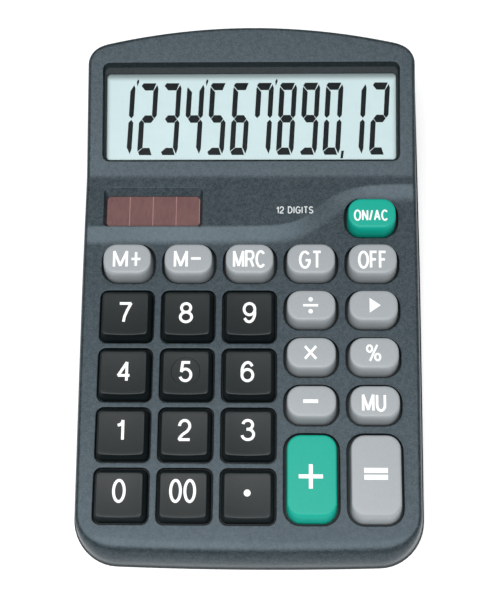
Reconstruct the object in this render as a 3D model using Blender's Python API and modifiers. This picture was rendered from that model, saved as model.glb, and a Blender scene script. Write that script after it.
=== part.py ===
"""Desk calculator with a raised display hood, as an assembly of separate pieces.

Metres, +Z up. The origin is under the middle of the overall box, at the height the
rubber feet rest on. The front edge faces -Y and the display is towards +Y.
"""

import math

import bmesh
import bpy
from mathutils import Matrix, Vector

MM = 0.001

# --- Fits -----------------------------------------------------------------
TOUCH_GAP = 0.3 * MM  # between pieces that rest against each other
KEY_GAP = 0.4 * MM  # round a key inside its well
SLIDE_GAP = 0.3 * MM  # round the battery door

# --- Walls ----------------------------------------------------------------
WALL = 2.0 * MM
FLOOR = 1.8 * MM
INNER_WALL = 1.2 * MM  # battery bay

# --- Keypad ---------------------------------------------------------------
COLUMNS = 5
COLUMN_PITCH = 21.2 * MM
COLUMN_WEB = 2.6 * MM
GREY_WELL_DEPTH = 13.85 * MM
GREY_WEB = 2.75 * MM
BLACK_WEB = 1.95 * MM
PAD_FRONT = 12.95 * MM  # front edge of the first wells, along the deck
SIDE_MARGIN = 8.3 * MM  # outermost wells to the widest line of the case
BLACK_CORNER = 2.5 * MM
GREY_CORNER = 5.5 * MM

KEY_RISE = 4.8 * MM  # top of a key over the deck
KEY_TAPER = 1.1 * MM  # how much each side of a key leans in
KEY_FLANGE = 0.7 * MM  # lip that holds a key under the deck, past its well
KEY_FLANGE_THICKNESS = 0.8 * MM
KEY_WALL = 1.3 * MM
KEY_TRAVEL = 1.6 * MM
STEM_RADIUS = 2.5 * MM
STEM_LENGTH = 1.5 * MM

# --- Case -----------------------------------------------------------------
DECK_ANGLE = math.radians(6.5)
PLATEAU_ANGLE = math.radians(6.0)
HOOD_ANGLE = math.radians(18.0)
BAND_ANGLE = math.radians(24.0)
DECK_FRONT_Z = 13.8 * MM
DECK_MARGIN = 1.1 * MM  # last full row of wells to the foot of the band
LOBE_EDGE = 0.3 * MM  # top key's well to the foot of the band
BAND_RISE = 1.65 * MM
LOBE_MARGIN = 7.7 * MM  # top key's lobe to the foot of the hood
LOBE_LEAD = 5.3 * MM  # middle of the S, ahead of the gap between the last columns
LOBE_EASE = 10.0 * MM  # how slowly the S turns
HOOD_LENGTH = 55.0 * MM
PARTING_FRONT_Z = 5.0 * MM
UNDERSIDE_Z = 1.2 * MM
FRONT_CORNER = 13.0 * MM
REAR_CORNER = 9.0 * MM
FRONT_BULGE = 1.3 * MM
REAR_BULGE = 6.7 * MM
FRONT_ROUND = 7.0 * MM
FRONT_DROP = 4.0 * MM
SHOULDER_HEIGHT = 9.0 * MM
SHOULDER_INSET = 1.4 * MM
HOOD_INSET = 1.9 * MM
BASE_INSET = 3.0 * MM
LIP_HEIGHT = 1.5 * MM
LIP_THICKNESS = 1.0 * MM

# --- Display --------------------------------------------------------------
WINDOW_SIDE_MARGIN = 7.2 * MM
WINDOW_FRONT_MARGIN = 5.7 * MM
WINDOW_REAR_MARGIN = 17.2 * MM
WINDOW_CORNER = 2.5 * MM
WINDOW_STEP = 1.2 * MM
WINDOW_STEP_DEPTH = 0.9 * MM
GLASS_OVERLAP = 1.4 * MM
LENS_THICKNESS = 0.6 * MM
LCD_THICKNESS = 1.8 * MM
HOLDER_THICKNESS = 2.2 * MM
HOLDER_BORDER = 4.0 * MM
RIBBON_WIDTH = 36.0 * MM
RIBBON_THICKNESS = 0.3 * MM

# --- Solar cell -----------------------------------------------------------
SOLAR_LENGTH = 32.8 * MM
SOLAR_DEPTH = 11.5 * MM
SOLAR_SIDE_MARGIN = 9.1 * MM
SOLAR_OVERLAP = 1.4 * MM
SOLAR_THICKNESS = 1.1 * MM
SOLAR_CORNER = 1.2 * MM

# --- Board and rubber mat -------------------------------------------------
BOARD_LEVEL = 8.0 * MM  # board top below the deck
BOARD_THICKNESS = 1.2 * MM
BOARD_SIDE_GAP = 6.0 * MM  # board edge to the widest line of the case
BOARD_FRONT = 5.2 * MM
BOARD_NOTCH = Vector((15.0, 8.5)) * MM
MAT_THICKNESS = 0.7 * MM
MAT_BORDER = 1.2 * MM
DOME_RADIUS = 4.0 * MM
DOME_WALL = 0.6 * MM
CHIP_RADIUS = 6.5 * MM
CHIP_HEIGHT = 1.5 * MM

# --- Battery --------------------------------------------------------------
BATTERY_RADIUS = 7.25 * MM
BATTERY_LENGTH = 49.5 * MM
BATTERY_TIP = Vector((2.7, 1.0)) * MM  # radius and height of the positive end
BATTERY_ROOM = 2.0 * MM  # bay width past the battery, each side
SPRING_SPACE = 5.0 * MM
CONTACT_THICKNESS = 0.4 * MM
CONTACT_WIDTH = 8.0 * MM
SPRING_WIRE = 0.35 * MM
SPRING_TURNS = 3
WIRE_RADIUS = 0.5 * MM
BAY_REAR_MARGIN = 9.0 * MM  # bay to the rear edge of the case
DOOR_LIP_HEIGHT = 11.0 * MM
DOOR_TONGUE = Vector((36.0, 3.0, 1.0)) * MM
DOOR_TRAVEL = 12.0 * MM

# --- Screws and feet ------------------------------------------------------
SCREW_RADIUS = 1.2 * MM
SCREW_HEAD_RADIUS = 2.4 * MM
SCREW_HEAD_HEIGHT = 1.3 * MM
SCREW_THREAD = 5.0 * MM
SCREW_PLAY = 0.35 * MM
BOSS_WALL = 1.3 * MM
POST_RISE = 4.2 * MM  # top of a screw post over the underside
SCREW_SEAT = 1.6 * MM  # thickness under a screw head
SMALL_SCREW_RADIUS = 0.8 * MM
SMALL_HEAD_RADIUS = 1.9 * MM
SMALL_HEAD_HEIGHT = 1.1 * MM
SMALL_THREAD = 3.4 * MM
FOOT_RADIUS = 5.0 * MM
FOOT_HEIGHT = 1.5 * MM
FOOT_RECESS = 0.6 * MM

# --- Derived --------------------------------------------------------------
WELL_WIDTH = COLUMN_PITCH - COLUMN_WEB
GREY_PITCH = GREY_WELL_DEPTH + GREY_WEB
BLOCK_DEPTH = 5 * GREY_PITCH - GREY_WEB
BLACK_PITCH = (BLOCK_DEPTH + BLACK_WEB) / 4
BLACK_WELL_DEPTH = BLACK_PITCH - BLACK_WEB
TALL_WELL_DEPTH = GREY_WELL_DEPTH + GREY_PITCH
HALF_WIDTH = (COLUMNS - 1) * COLUMN_PITCH / 2 + WELL_WIDTH / 2 + SIDE_MARGIN
MEMORY_ROW_END = PAD_FRONT + BLOCK_DEPTH + GREY_PITCH
TOP_ROW_END = MEMORY_ROW_END + GREY_PITCH
DECK_END = (MEMORY_ROW_END + DECK_MARGIN) * math.cos(DECK_ANGLE)
LOBE_END = (TOP_ROW_END + LOBE_EDGE) * math.cos(DECK_ANGLE)
BAND_RUN = BAND_RISE / (math.tan(BAND_ANGLE) - math.tan(DECK_ANGLE))
PLATEAU_START = DECK_END + BAND_RUN
PLATEAU_END = LOBE_END + LOBE_MARGIN
LENGTH = PLATEAU_END + HOOD_LENGTH
HOOD_SLOPE_LENGTH = HOOD_LENGTH / math.cos(HOOD_ANGLE)


def deck_z(y):
    return DECK_FRONT_Z + y * math.tan(DECK_ANGLE)


def parting_z(y):
    return PARTING_FRONT_Z + y * math.tan(DECK_ANGLE)


PLATEAU_Z = deck_z(PLATEAU_START) + BAND_RISE
HOOD_Z = PLATEAU_Z + (PLATEAU_END - PLATEAU_START) * math.tan(PLATEAU_ANGLE)
POST_TOP = UNDERSIDE_Z + POST_RISE
BOSS_RADIUS = SCREW_RADIUS + SCREW_PLAY + BOSS_WALL
SMALL_BOSS_RADIUS = SMALL_SCREW_RADIUS + SCREW_PLAY + BOSS_WALL
SMALL_BORE_RADIUS = SMALL_SCREW_RADIUS + SCREW_PLAY


def tilted(y, z, angle):
    """A frame on a sloped face: x along the case, y up the slope, z out of the face."""
    return Matrix.Translation((0, y - LENGTH / 2, z)) @ Matrix.Rotation(angle, 4, "X")


LEVEL = tilted(0, 0, 0)
DECK = tilted(0, DECK_FRONT_Z, DECK_ANGLE)
PLATEAU = tilted(PLATEAU_START, PLATEAU_Z, PLATEAU_ANGLE)
HOOD = tilted(PLATEAU_END, HOOD_Z, HOOD_ANGLE)

# Key names and their cells: column, first row from the front, kind of key.
KEYS = {
    "key_0": (0, 0, "black"),
    "key_00": (1, 0, "black"),
    "key_point": (2, 0, "black"),
    "key_1": (0, 1, "black"),
    "key_2": (1, 1, "black"),
    "key_3": (2, 1, "black"),
    "key_4": (0, 2, "black"),
    "key_5": (1, 2, "black"),
    "key_6": (2, 2, "black"),
    "key_7": (0, 3, "black"),
    "key_8": (1, 3, "black"),
    "key_9": (2, 3, "black"),
    "key_plus": (3, 0, "tall"),
    "key_equals": (4, 0, "tall"),
    "key_minus": (3, 2, "grey"),
    "key_markup": (4, 2, "grey"),
    "key_times": (3, 3, "grey"),
    "key_percent": (4, 3, "grey"),
    "key_divide": (3, 4, "grey"),
    "key_step_back": (4, 4, "grey"),
    "key_memory_plus": (0, 5, "grey"),
    "key_memory_minus": (1, 5, "grey"),
    "key_memory_recall": (2, 5, "grey"),
    "key_grand_total": (3, 5, "grey"),
    "key_off": (4, 5, "grey"),
    "key_on_clear": (4, 6, "grey"),
}
GREEN_KEYS = ("key_plus", "key_on_clear")


def key_cell(column, row, kind):
    """Centre along the deck, and the size and corner of the well."""
    x = (column - (COLUMNS - 1) / 2) * COLUMN_PITCH
    pitch = BLACK_PITCH if kind == "black" else GREY_PITCH
    depths = {"black": BLACK_WELL_DEPTH, "grey": GREY_WELL_DEPTH, "tall": TALL_WELL_DEPTH}
    depth = depths[kind]
    corner = BLACK_CORNER if kind == "black" else GREY_CORNER
    return x, PAD_FRONT + row * pitch + depth / 2, depth, corner


# --- Modelling helpers ----------------------------------------------------
for old in list(bpy.data.objects):
    bpy.data.objects.remove(old, do_unlink=True)

PARTS = bpy.data.collections.new("desk_calculator")
CUTTERS = bpy.data.collections.new("cutters")
bpy.context.scene.collection.children.link(PARTS)
bpy.context.scene.collection.children.link(CUTTERS)
CUTTERS.hide_render = True


def material(name, colour, roughness, metallic=0.0):
    made = bpy.data.materials.new(name)
    made.use_nodes = True
    shader = made.node_tree.nodes["Principled BSDF"]
    shader.inputs["Base Color"].default_value = (*colour, 1.0)
    shader.inputs["Roughness"].default_value = roughness
    shader.inputs["Metallic"].default_value = metallic
    made.diffuse_color = (*colour, 1.0)
    return made


UPPER_PLASTIC = material("upper_case_plastic", (0.095, 0.12, 0.14), 0.45)
LOWER_PLASTIC = material("lower_case_plastic", (0.11, 0.13, 0.15), 0.5)
BLACK_PLASTIC = material("black_key_plastic", (0.02, 0.028, 0.03), 0.4)
GREY_PLASTIC = material("grey_key_plastic", (0.37, 0.4, 0.42), 0.4)
GREEN_PLASTIC = material("green_key_plastic", (0.01, 0.46, 0.36), 0.4)
CLEAR_PLASTIC = material("window_plastic", (0.85, 0.9, 0.9), 0.05)
LCD_GLASS = material("lcd_glass", (0.63, 0.79, 0.8), 0.2)
HOLDER_PLASTIC = material("holder_plastic", (0.05, 0.05, 0.055), 0.6)
RIBBON_FILM = material("ribbon_film", (0.5, 0.25, 0.05), 0.35)
SOLAR_GLASS = material("solar_glass", (0.2, 0.1, 0.095), 0.15)
BOARD_RESIN = material("board_resin", (0.03, 0.18, 0.07), 0.5)
CHIP_EPOXY = material("chip_epoxy", (0.01, 0.01, 0.01), 0.3)
RUBBER = material("rubber", (0.55, 0.56, 0.55), 0.7)
FOOT_RUBBER = material("foot_rubber", (0.02, 0.02, 0.02), 0.8)
BATTERY_WRAP = material("battery_wrap", (0.1, 0.12, 0.15), 0.3, 0.3)
STEEL = material("steel", (0.55, 0.56, 0.57), 0.3, 1.0)
RED_SLEEVE = material("red_sleeve", (0.55, 0.02, 0.02), 0.4)
BLACK_SLEEVE = material("black_sleeve", (0.01, 0.01, 0.01), 0.4)


def add_object(name, mesh, frame, collection, finish=None):
    made = bpy.data.objects.new(name, mesh)
    made.matrix_world = frame
    collection.objects.link(made)
    if finish:
        mesh.materials.append(finish)
    if collection is CUTTERS:
        made.hide_render = True
        made.display_type = "WIRE"
    return made


def from_bmesh(name, shape, frame, collection, finish=None):
    bmesh.ops.recalc_face_normals(shape, faces=shape.faces)
    mesh = bpy.data.meshes.new(name)
    shape.to_mesh(mesh)
    shape.free()
    return add_object(name, mesh, frame, collection, finish)


def loft(name, rings, frame, collection, finish=None):
    """A closed skin over rings of equally many points, with its two ends filled."""
    shape = bmesh.new()
    rows = [[shape.verts.new(point) for point in ring] for ring in rings]
    for lower, upper in zip(rows, rows[1:]):
        for i in range(len(lower)):
            j = (i + 1) % len(lower)
            shape.faces.new((lower[i], lower[j], upper[j], upper[i]))
    shape.faces.new(rows[0][::-1])
    shape.faces.new(rows[-1])
    return from_bmesh(name, shape, frame, collection, finish)


def box(name, low, high, frame, collection, finish=None):
    shape = bmesh.new()
    size = Vector(high) - Vector(low)
    middle = (Vector(high) + Vector(low)) / 2
    place = Matrix.Translation(middle) @ Matrix.Diagonal((*size, 1))
    bmesh.ops.create_cube(shape, size=1, matrix=place)
    return from_bmesh(name, shape, frame, collection, finish)


def cylinder(name, centre, radius, low, high, frame, collection, finish=None, sides=12):
    shape = bmesh.new()
    place = Matrix.Translation((centre[0], centre[1], (low + high) / 2))
    bmesh.ops.create_cone(
        shape,
        cap_ends=True,
        segments=sides,
        radius1=radius,
        radius2=radius,
        depth=high - low,
        matrix=place,
    )
    return from_bmesh(name, shape, frame, collection, finish)


def prism(name, outline, low, high, frame, collection, finish=None):
    rings = [[(x, y, z) for x, y in outline] for z in (low, high)]
    return loft(name, rings, frame, collection, finish)


def side_prism(name, profile, half_width):
    """A profile in y and z, pulled out along x."""
    rings = [[(x, y, z) for y, z in profile] for x in (-half_width, half_width)]
    return loft(name, rings, LEVEL, CUTTERS)


def rounded_rectangle(width, depth, corner, steps=2, centre=(0, 0)):
    corner = min(corner, width / 2 - 0.1 * MM, depth / 2 - 0.1 * MM)
    points = []
    for quarter, (sx, sy) in enumerate(((1, 1), (-1, 1), (-1, -1), (1, -1))):
        middle_x = centre[0] + sx * (width / 2 - corner)
        middle_y = centre[1] + sy * (depth / 2 - corner)
        for step in range(steps + 1):
            turn = (quarter + step / steps) * math.pi / 2
            points.append((middle_x + corner * math.cos(turn), middle_y + corner * math.sin(turn)))
    return points


def joined(objects):
    """Several closed shapes that don't touch, held in the first one's mesh."""
    whole = bmesh.new()
    for piece in objects:
        start = len(whole.verts)
        whole.from_mesh(piece.data)
        whole.verts.ensure_lookup_table()
        shift = objects[0].matrix_world.inverted() @ piece.matrix_world
        bmesh.ops.transform(whole, matrix=shift, verts=whole.verts[start:])
    whole.to_mesh(objects[0].data)
    whole.free()
    for piece in objects[1:]:
        bpy.data.objects.remove(piece, do_unlink=True)
    return objects[0]


def combine(target, operation, other):
    modifier = target.modifiers.new(operation.lower(), "BOOLEAN")
    modifier.operation = operation
    modifier.object = other


def cut(target, *others):
    for other in others:
        combine(target, "DIFFERENCE", other)


def join(target, *others):
    for other in others:
        combine(target, "UNION", other)


def keep_inside(target, *others):
    for other in others:
        combine(target, "INTERSECT", other)


def turned(name, profile, frame, finish, steps=16):
    """A profile of radius and height, top to bottom, swept round the z axis."""
    mesh = bpy.data.meshes.new(name)
    points = [(radius, 0, z) for radius, z in profile]
    mesh.from_pydata(points, [(i, i + 1) for i in range(len(points) - 1)], [])
    made = add_object(name, mesh, frame, PARTS, finish)
    screw = made.modifiers.new("screw", "SCREW")
    screw.steps = steps
    screw.render_steps = steps
    screw.use_merge_vertices = True
    screw.merge_threshold = 0.00001
    return made


def wire(name, points, radius, finish, frame=LEVEL):
    curve = bpy.data.curves.new(name, "CURVE")
    curve.dimensions = "3D"
    curve.bevel_depth = radius
    curve.bevel_resolution = 1
    curve.use_fill_caps = True
    spline = curve.splines.new("POLY")
    spline.points.add(len(points) - 1)
    for target, point in zip(spline.points, points):
        target.co = (*point, 1)
    made = bpy.data.objects.new(name, curve)
    made.matrix_world = frame
    PARTS.objects.link(made)
    curve.materials.append(finish)
    return made


def smooth_path(guides, steps=4):
    """Points on a Catmull-Rom curve through the guide points."""
    guides = [Vector(guide) for guide in guides]
    ends = [2 * guides[0] - guides[1], *guides, 2 * guides[-1] - guides[-2]]
    path = []
    for before, start, end, after in zip(ends, ends[1:], ends[2:], ends[3:]):
        for step in range(steps):
            t = step / steps
            path.append(
                0.5
                * (
                    2 * start
                    + (end - before) * t
                    + (2 * before - 5 * start + 4 * end - after) * t**2
                    + (3 * start - 3 * end + after - before) * t**3
                )
            )
    return path + [guides[-1]]


# --- Case outline ---------------------------------------------------------
def plan_outline(inset, corner_steps=5, edge_steps=4):
    """The case seen from above, drawn in by an inset: bowed ends and round corners."""
    half = HALF_WIDTH - inset
    ends = (
        (inset, 1, FRONT_CORNER - inset, FRONT_BULGE),
        (LENGTH - inset, -1, REAR_CORNER - inset, REAR_BULGE),
    )
    outline = []
    for end_y, inward, corner, bulge in ends:
        straight = half - corner
        xs = [straight * i / edge_steps for i in range(edge_steps)]
        quarter = [
            (
                straight + corner * math.sin(turn),
                corner * (1 - math.cos(turn)),
            )
            for turn in (math.pi / 2 * i / corner_steps for i in range(corner_steps + 1))
        ]
        right = [(x, 0) for x in xs] + quarter
        side = [(x, end_y + inward * (rise + bulge * (x / half) ** 2)) for x, rise in right]
        mirrored = [(-x, y) for x, y in side[:0:-1]]
        outline.append(mirrored + side)
    return outline[0] + outline[1][::-1]


def ring(inset, height):
    """An outline lifted to a height, which is a number or a function of y."""
    level = height if callable(height) else lambda _: height
    return [(x, y, level(y)) for x, y in plan_outline(inset)]


def over_parting(rise):
    return lambda y: parting_z(y) + rise


def band_curve():
    """The foot of the band: straight on the left, then an S round the top key."""
    middle = COLUMN_PITCH * 1.5 - LOBE_LEAD
    half = HALF_WIDTH + 10 * MM
    points = [(-half, DECK_END)]
    for step in range(-8, 10):
        x = middle + step * LOBE_EASE / 3
        ease = (1 + math.tanh((x - middle) / LOBE_EASE)) / 2
        points.append((x, DECK_END + (LOBE_END - DECK_END) * ease))
    points.append((half, LOBE_END))
    return points


def case_volume(name, inset):
    """The inside of the case skin, drawn in by an inset: over the parting line."""
    skin = loft(
        name,
        [
            ring(inset, over_parting(0 if inset == 0 else -1 * MM)),
            ring(inset + SHOULDER_INSET, over_parting(SHOULDER_HEIGHT)),
            ring(inset + HOOD_INSET, over_parting(3 * SHOULDER_HEIGHT)),
        ],
        LEVEL,
        CUTTERS,
    )
    far = LENGTH + 20 * MM
    quarter = [math.pi / 2 * (1 - i / 4) for i in range(5)]
    low_profile = [(-20 * MM, -30 * MM), (-20 * MM, deck_z(inset) - inset - FRONT_DROP)]
    for turn in quarter:
        y = inset + FRONT_ROUND * (1 - math.sin(turn))
        low_profile.append((y, deck_z(y) - inset - FRONT_DROP * (1 - math.cos(turn))))
    low_profile += [(far, deck_z(far) - inset), (far, -30 * MM)]
    low = side_prism(name + "_low", low_profile, HALF_WIDTH + 20 * MM)
    high_profile = [
        (DECK_END - 20 * MM, -25 * MM),
        (DECK_END - 20 * MM, PLATEAU_Z - inset),
        (PLATEAU_START, PLATEAU_Z - inset),
        (PLATEAU_END, HOOD_Z - inset),
        (far - 5 * MM, HOOD_Z - inset + (far - 5 * MM - PLATEAU_END) * math.tan(HOOD_ANGLE)),
        (far - 5 * MM, -25 * MM),
    ]
    high = side_prism(name + "_high", high_profile, HALF_WIDTH + 15 * MM)
    behind = []
    for z in (-40 * MM, 60 * MM):
        front_edge = [
            (x, y + 2 * inset + (z - deck_z(y)) / math.tan(BAND_ANGLE)) for x, y in band_curve()
        ]
        back_edge = [(front_edge[-1][0], far + 200 * MM), (front_edge[0][0], far + 200 * MM)]
        behind.append([(x, y, z) for x, y in front_edge + back_edge])
    keep_inside(high, loft(name + "_behind", behind, LEVEL, CUTTERS))
    join(low, high)
    keep_inside(skin, low)
    return skin


# --- Screw places, on the level frame -------------------------------------
FRONT_SCREWS_X = HALF_WIDTH - 11.0 * MM
FRONT_SCREWS_Y = 9.1 * MM
REAR_SCREWS_X = HALF_WIDTH - 8.2 * MM
REAR_SCREWS_Y = PLATEAU_END - 0.7 * MM
CASE_SCREWS = {
    "case_screw_front_left": (-FRONT_SCREWS_X, FRONT_SCREWS_Y),
    "case_screw_front_right": (FRONT_SCREWS_X, FRONT_SCREWS_Y),
    "case_screw_rear_left": (-REAR_SCREWS_X, REAR_SCREWS_Y),
    "case_screw_rear_right": (REAR_SCREWS_X, REAR_SCREWS_Y),
}
BOARD_SCREWS = {
    "board_screw_front_left": (-30 * MM, 8.4 * MM),
    "board_screw_front_right": (30 * MM, 8.4 * MM),
    "board_screw_rear_left": (-12 * MM, (MEMORY_ROW_END + 7.6 * MM)),
    "board_screw_rear_right": (9 * MM, (MEMORY_ROW_END + 7.6 * MM)),
}
HOLDER_SCREWS = {"display_screw_left": -25 * MM, "display_screw_right": 25 * MM}
HOLDER_SCREW_V = -1.2 * MM
FEET = {
    "foot_front_left": (-(HALF_WIDTH - 16 * MM), 20 * MM),
    "foot_front_right": (HALF_WIDTH - 16 * MM, 20 * MM),
    "foot_rear_left": (-(HALF_WIDTH - 12 * MM), LENGTH - 20 * MM),
    "foot_rear_right": (HALF_WIDTH - 12 * MM, LENGTH - 20 * MM),
}


# --- Top case -------------------------------------------------------------
def boss(name, x, y, frame, radius, low, high):
    return cylinder(name, (x, y), radius, low, high, frame, CUTTERS, sides=12)


def level_inner_z(y):
    """Height inside the skin above a place, for the top of a boss."""
    if y < DECK_END:
        return deck_z(y) - WALL / 2
    if y < PLATEAU_END:
        return PLATEAU_Z + (y - PLATEAU_START) * math.tan(PLATEAU_ANGLE) - WALL / 2
    return HOOD_Z + (y - PLATEAU_END) * math.tan(HOOD_ANGLE) - WALL / 2


window_low_v = WINDOW_FRONT_MARGIN
window_high_v = HOOD_SLOPE_LENGTH - WINDOW_REAR_MARGIN
window_middle = (0, (window_low_v + window_high_v) / 2)
window_width = 2 * (HALF_WIDTH - WINDOW_SIDE_MARGIN)
window_depth = window_high_v - window_low_v
glass_width = window_width - 2 * WINDOW_STEP + 2 * GLASS_OVERLAP
glass_depth = window_depth - 2 * WINDOW_STEP + 2 * GLASS_OVERLAP

solar_left = -HALF_WIDTH + SOLAR_SIDE_MARGIN
solar_middle = (solar_left + SOLAR_LENGTH / 2, SOLAR_DEPTH / 2 + 0.4 * MM)

case_volume("case_outside", 0)
top_case = bpy.data.objects["case_outside"]
top_case.name = "top_case"
CUTTERS.objects.unlink(top_case)
PARTS.objects.link(top_case)
top_case.hide_render = False
top_case.display_type = "TEXTURED"
top_case.data.materials.append(UPPER_PLASTIC)
cut(top_case, case_volume("case_inside", WALL))

bosses = []
for name, (x, y) in CASE_SCREWS.items():
    low = POST_TOP + TOUCH_GAP
    bosses.append(boss(name + "_boss", x, y, LEVEL, BOSS_RADIUS, low, level_inner_z(y)))
for name, (x, y) in BOARD_SCREWS.items():
    top = level_inner_z(y) - deck_z(y)
    v = y / math.cos(DECK_ANGLE)
    low = -BOARD_LEVEL + TOUCH_GAP
    bosses.append(boss(name + "_boss", x, v, DECK, SMALL_BOSS_RADIUS, low, top))
lens_top = -WALL - TOUCH_GAP
lcd_top = lens_top - LENS_THICKNESS - TOUCH_GAP
holder_top = lcd_top - LCD_THICKNESS - TOUCH_GAP
for name, x in HOLDER_SCREWS.items():
    low = holder_top + TOUCH_GAP
    bosses.append(boss(name + "_boss", x, HOLDER_SCREW_V, HOOD, SMALL_BOSS_RADIUS, low, -WALL / 2))
for piece in bosses:
    join(top_case, piece)

wells = []
for name, (column, row, kind) in KEYS.items():
    x, v, depth, corner = key_cell(column, row, kind)
    outline = rounded_rectangle(WELL_WIDTH, depth, corner, 2, (x, v))
    wells.append(prism(name + "_well", outline, -WALL - 4 * MM, KEY_RISE, DECK, CUTTERS))
cut(top_case, joined(wells))
step_outline = rounded_rectangle(window_width, window_depth, WINDOW_CORNER, 3, window_middle)
cut(top_case, prism("window_step", step_outline, -WINDOW_STEP_DEPTH, 5 * MM, HOOD, CUTTERS))
through_outline = rounded_rectangle(
    window_width - 2 * WINDOW_STEP,
    window_depth - 2 * WINDOW_STEP,
    WINDOW_CORNER - WINDOW_STEP,
    3,
    window_middle,
)
cut(top_case, prism("window_opening", through_outline, -5 * MM, 5 * MM, HOOD, CUTTERS))
solar_outline = rounded_rectangle(SOLAR_LENGTH, SOLAR_DEPTH, SOLAR_CORNER, 2, solar_middle)
cut(top_case, prism("solar_opening", solar_outline, -5 * MM, 5 * MM, PLATEAU, CUTTERS))
solar_body = [
    SOLAR_LENGTH + 2 * SOLAR_OVERLAP,
    SOLAR_DEPTH + 2 * SOLAR_OVERLAP,
]
pocket = rounded_rectangle(
    solar_body[0] + 2 * TOUCH_GAP,
    solar_body[1] + 2 * TOUCH_GAP,
    0.3 * MM,
    1,
    solar_middle,
)
pocket_top = -WALL - TOUCH_GAP / 3
cut(top_case, prism("solar_pocket", pocket, -WALL - 3.5 * MM, pocket_top, PLATEAU, CUTTERS))

pilots = []
for name, (x, y) in CASE_SCREWS.items():
    low = POST_TOP
    high = low + SCREW_THREAD + SCREW_PLAY
    radius = SCREW_RADIUS + SCREW_PLAY
    pilots.append(cylinder(name + "_pilot", (x, y), radius, low - 1 * MM, high, LEVEL, CUTTERS))
for name, (x, y) in BOARD_SCREWS.items():
    v = y / math.cos(DECK_ANGLE)
    low = -BOARD_LEVEL - 1 * MM
    high = SMALL_THREAD + SCREW_PLAY - BOARD_LEVEL
    pilots.append(cylinder(name + "_pilot", (x, v), SMALL_BORE_RADIUS, low, high, DECK, CUTTERS))
for name, x in HOLDER_SCREWS.items():
    low = holder_top - 1 * MM
    high = min(holder_top + SMALL_THREAD, -WALL)
    place = (x, HOLDER_SCREW_V)
    pilots.append(cylinder(name + "_pilot", place, SMALL_BORE_RADIUS, low, high, HOOD, CUTTERS))
cut(top_case, joined(pilots))

# --- Display --------------------------------------------------------------
lens_outline = rounded_rectangle(glass_width, glass_depth, 0.8 * MM, 1, window_middle)
prism("display_window", lens_outline, lens_top - LENS_THICKNESS, lens_top, HOOD, PARTS, CLEAR_PLASTIC)
prism("lcd_panel", lens_outline, lcd_top - LCD_THICKNESS, lcd_top, HOOD, PARTS, LCD_GLASS)
holder_low = holder_top - HOLDER_THICKNESS
glass_front = window_middle[1] - glass_depth / 2
glass_rear = window_middle[1] + glass_depth / 2
holder = box(
    "lcd_holder",
    (-glass_width / 2, glass_front, holder_low),
    (glass_width / 2, glass_rear, holder_top),
    HOOD,
    PARTS,
    HOLDER_PLASTIC,
)
holder_hole = box(
    "lcd_holder_hole",
    (-glass_width / 2 + HOLDER_BORDER, glass_front + HOLDER_BORDER, holder_low - 1 * MM),
    (glass_width / 2 - HOLDER_BORDER, glass_rear - HOLDER_BORDER, holder_top + 1 * MM),
    HOOD,
    CUTTERS,
)
for name, x in HOLDER_SCREWS.items():
    ear = box(
        name + "_ear",
        (x - 3 * MM, HOLDER_SCREW_V - 3 * MM, holder_low),
        (x + 3 * MM, glass_front + 1 * MM, holder_top),
        HOOD,
        CUTTERS,
    )
    join(holder, ear)
holder_bores = [
    cylinder(
        name + "_bore",
        (x, HOLDER_SCREW_V),
        SMALL_BORE_RADIUS,
        holder_low - 1 * MM,
        holder_top + 1 * MM,
        HOOD,
        CUTTERS,
    )
    for name, x in HOLDER_SCREWS.items()
]
cut(holder, holder_hole, joined(holder_bores))

# --- Solar cell -----------------------------------------------------------
box(
    "solar_cell",
    (
        solar_middle[0] - solar_body[0] / 2,
        solar_middle[1] - solar_body[1] / 2,
        -WALL - TOUCH_GAP - SOLAR_THICKNESS,
    ),
    (
        solar_middle[0] + solar_body[0] / 2,
        solar_middle[1] + solar_body[1] / 2,
        -WALL - TOUCH_GAP,
    ),
    PLATEAU,
    PARTS,
    SOLAR_GLASS,
)

# --- Board ----------------------------------------------------------------
board_low = -BOARD_LEVEL - BOARD_THICKNESS
board_half = HALF_WIDTH - BOARD_SIDE_GAP
board_rear = TOP_ROW_END + 3.0 * MM
notch_x = board_half - BOARD_NOTCH.x
notch_y = BOARD_FRONT + BOARD_NOTCH.y
board_outline = [
    (-notch_x, BOARD_FRONT),
    (notch_x, BOARD_FRONT),
    (notch_x, notch_y),
    (board_half, notch_y),
    (board_half, board_rear),
    (-board_half, board_rear),
    (-board_half, notch_y),
    (-notch_x, notch_y),
]
board = prism("circuit_board", board_outline, board_low, -BOARD_LEVEL, DECK, PARTS, BOARD_RESIN)
board_bores = [
    cylinder(
        name + "_board_bore",
        (x, y / math.cos(DECK_ANGLE)),
        SMALL_BORE_RADIUS,
        board_low - 1 * MM,
        -BOARD_LEVEL + 1 * MM,
        DECK,
        CUTTERS,
    )
    for name, (x, y) in BOARD_SCREWS.items()
]
cut(board, joined(board_bores))

chip_profile = [(0, 0)]
for step in range(5):
    turn = math.pi / 2 * step / 4
    chip_profile.append((CHIP_RADIUS * math.cos(turn), -CHIP_HEIGHT * math.sin(turn)))
chip_profile[-1] = (0, -CHIP_HEIGHT)
chip_frame = DECK @ Matrix.Translation((0, PAD_FRONT + BLOCK_DEPTH / 2, board_low - TOUCH_GAP))
turned("controller_chip", chip_profile, chip_frame, CHIP_EPOXY)

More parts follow.
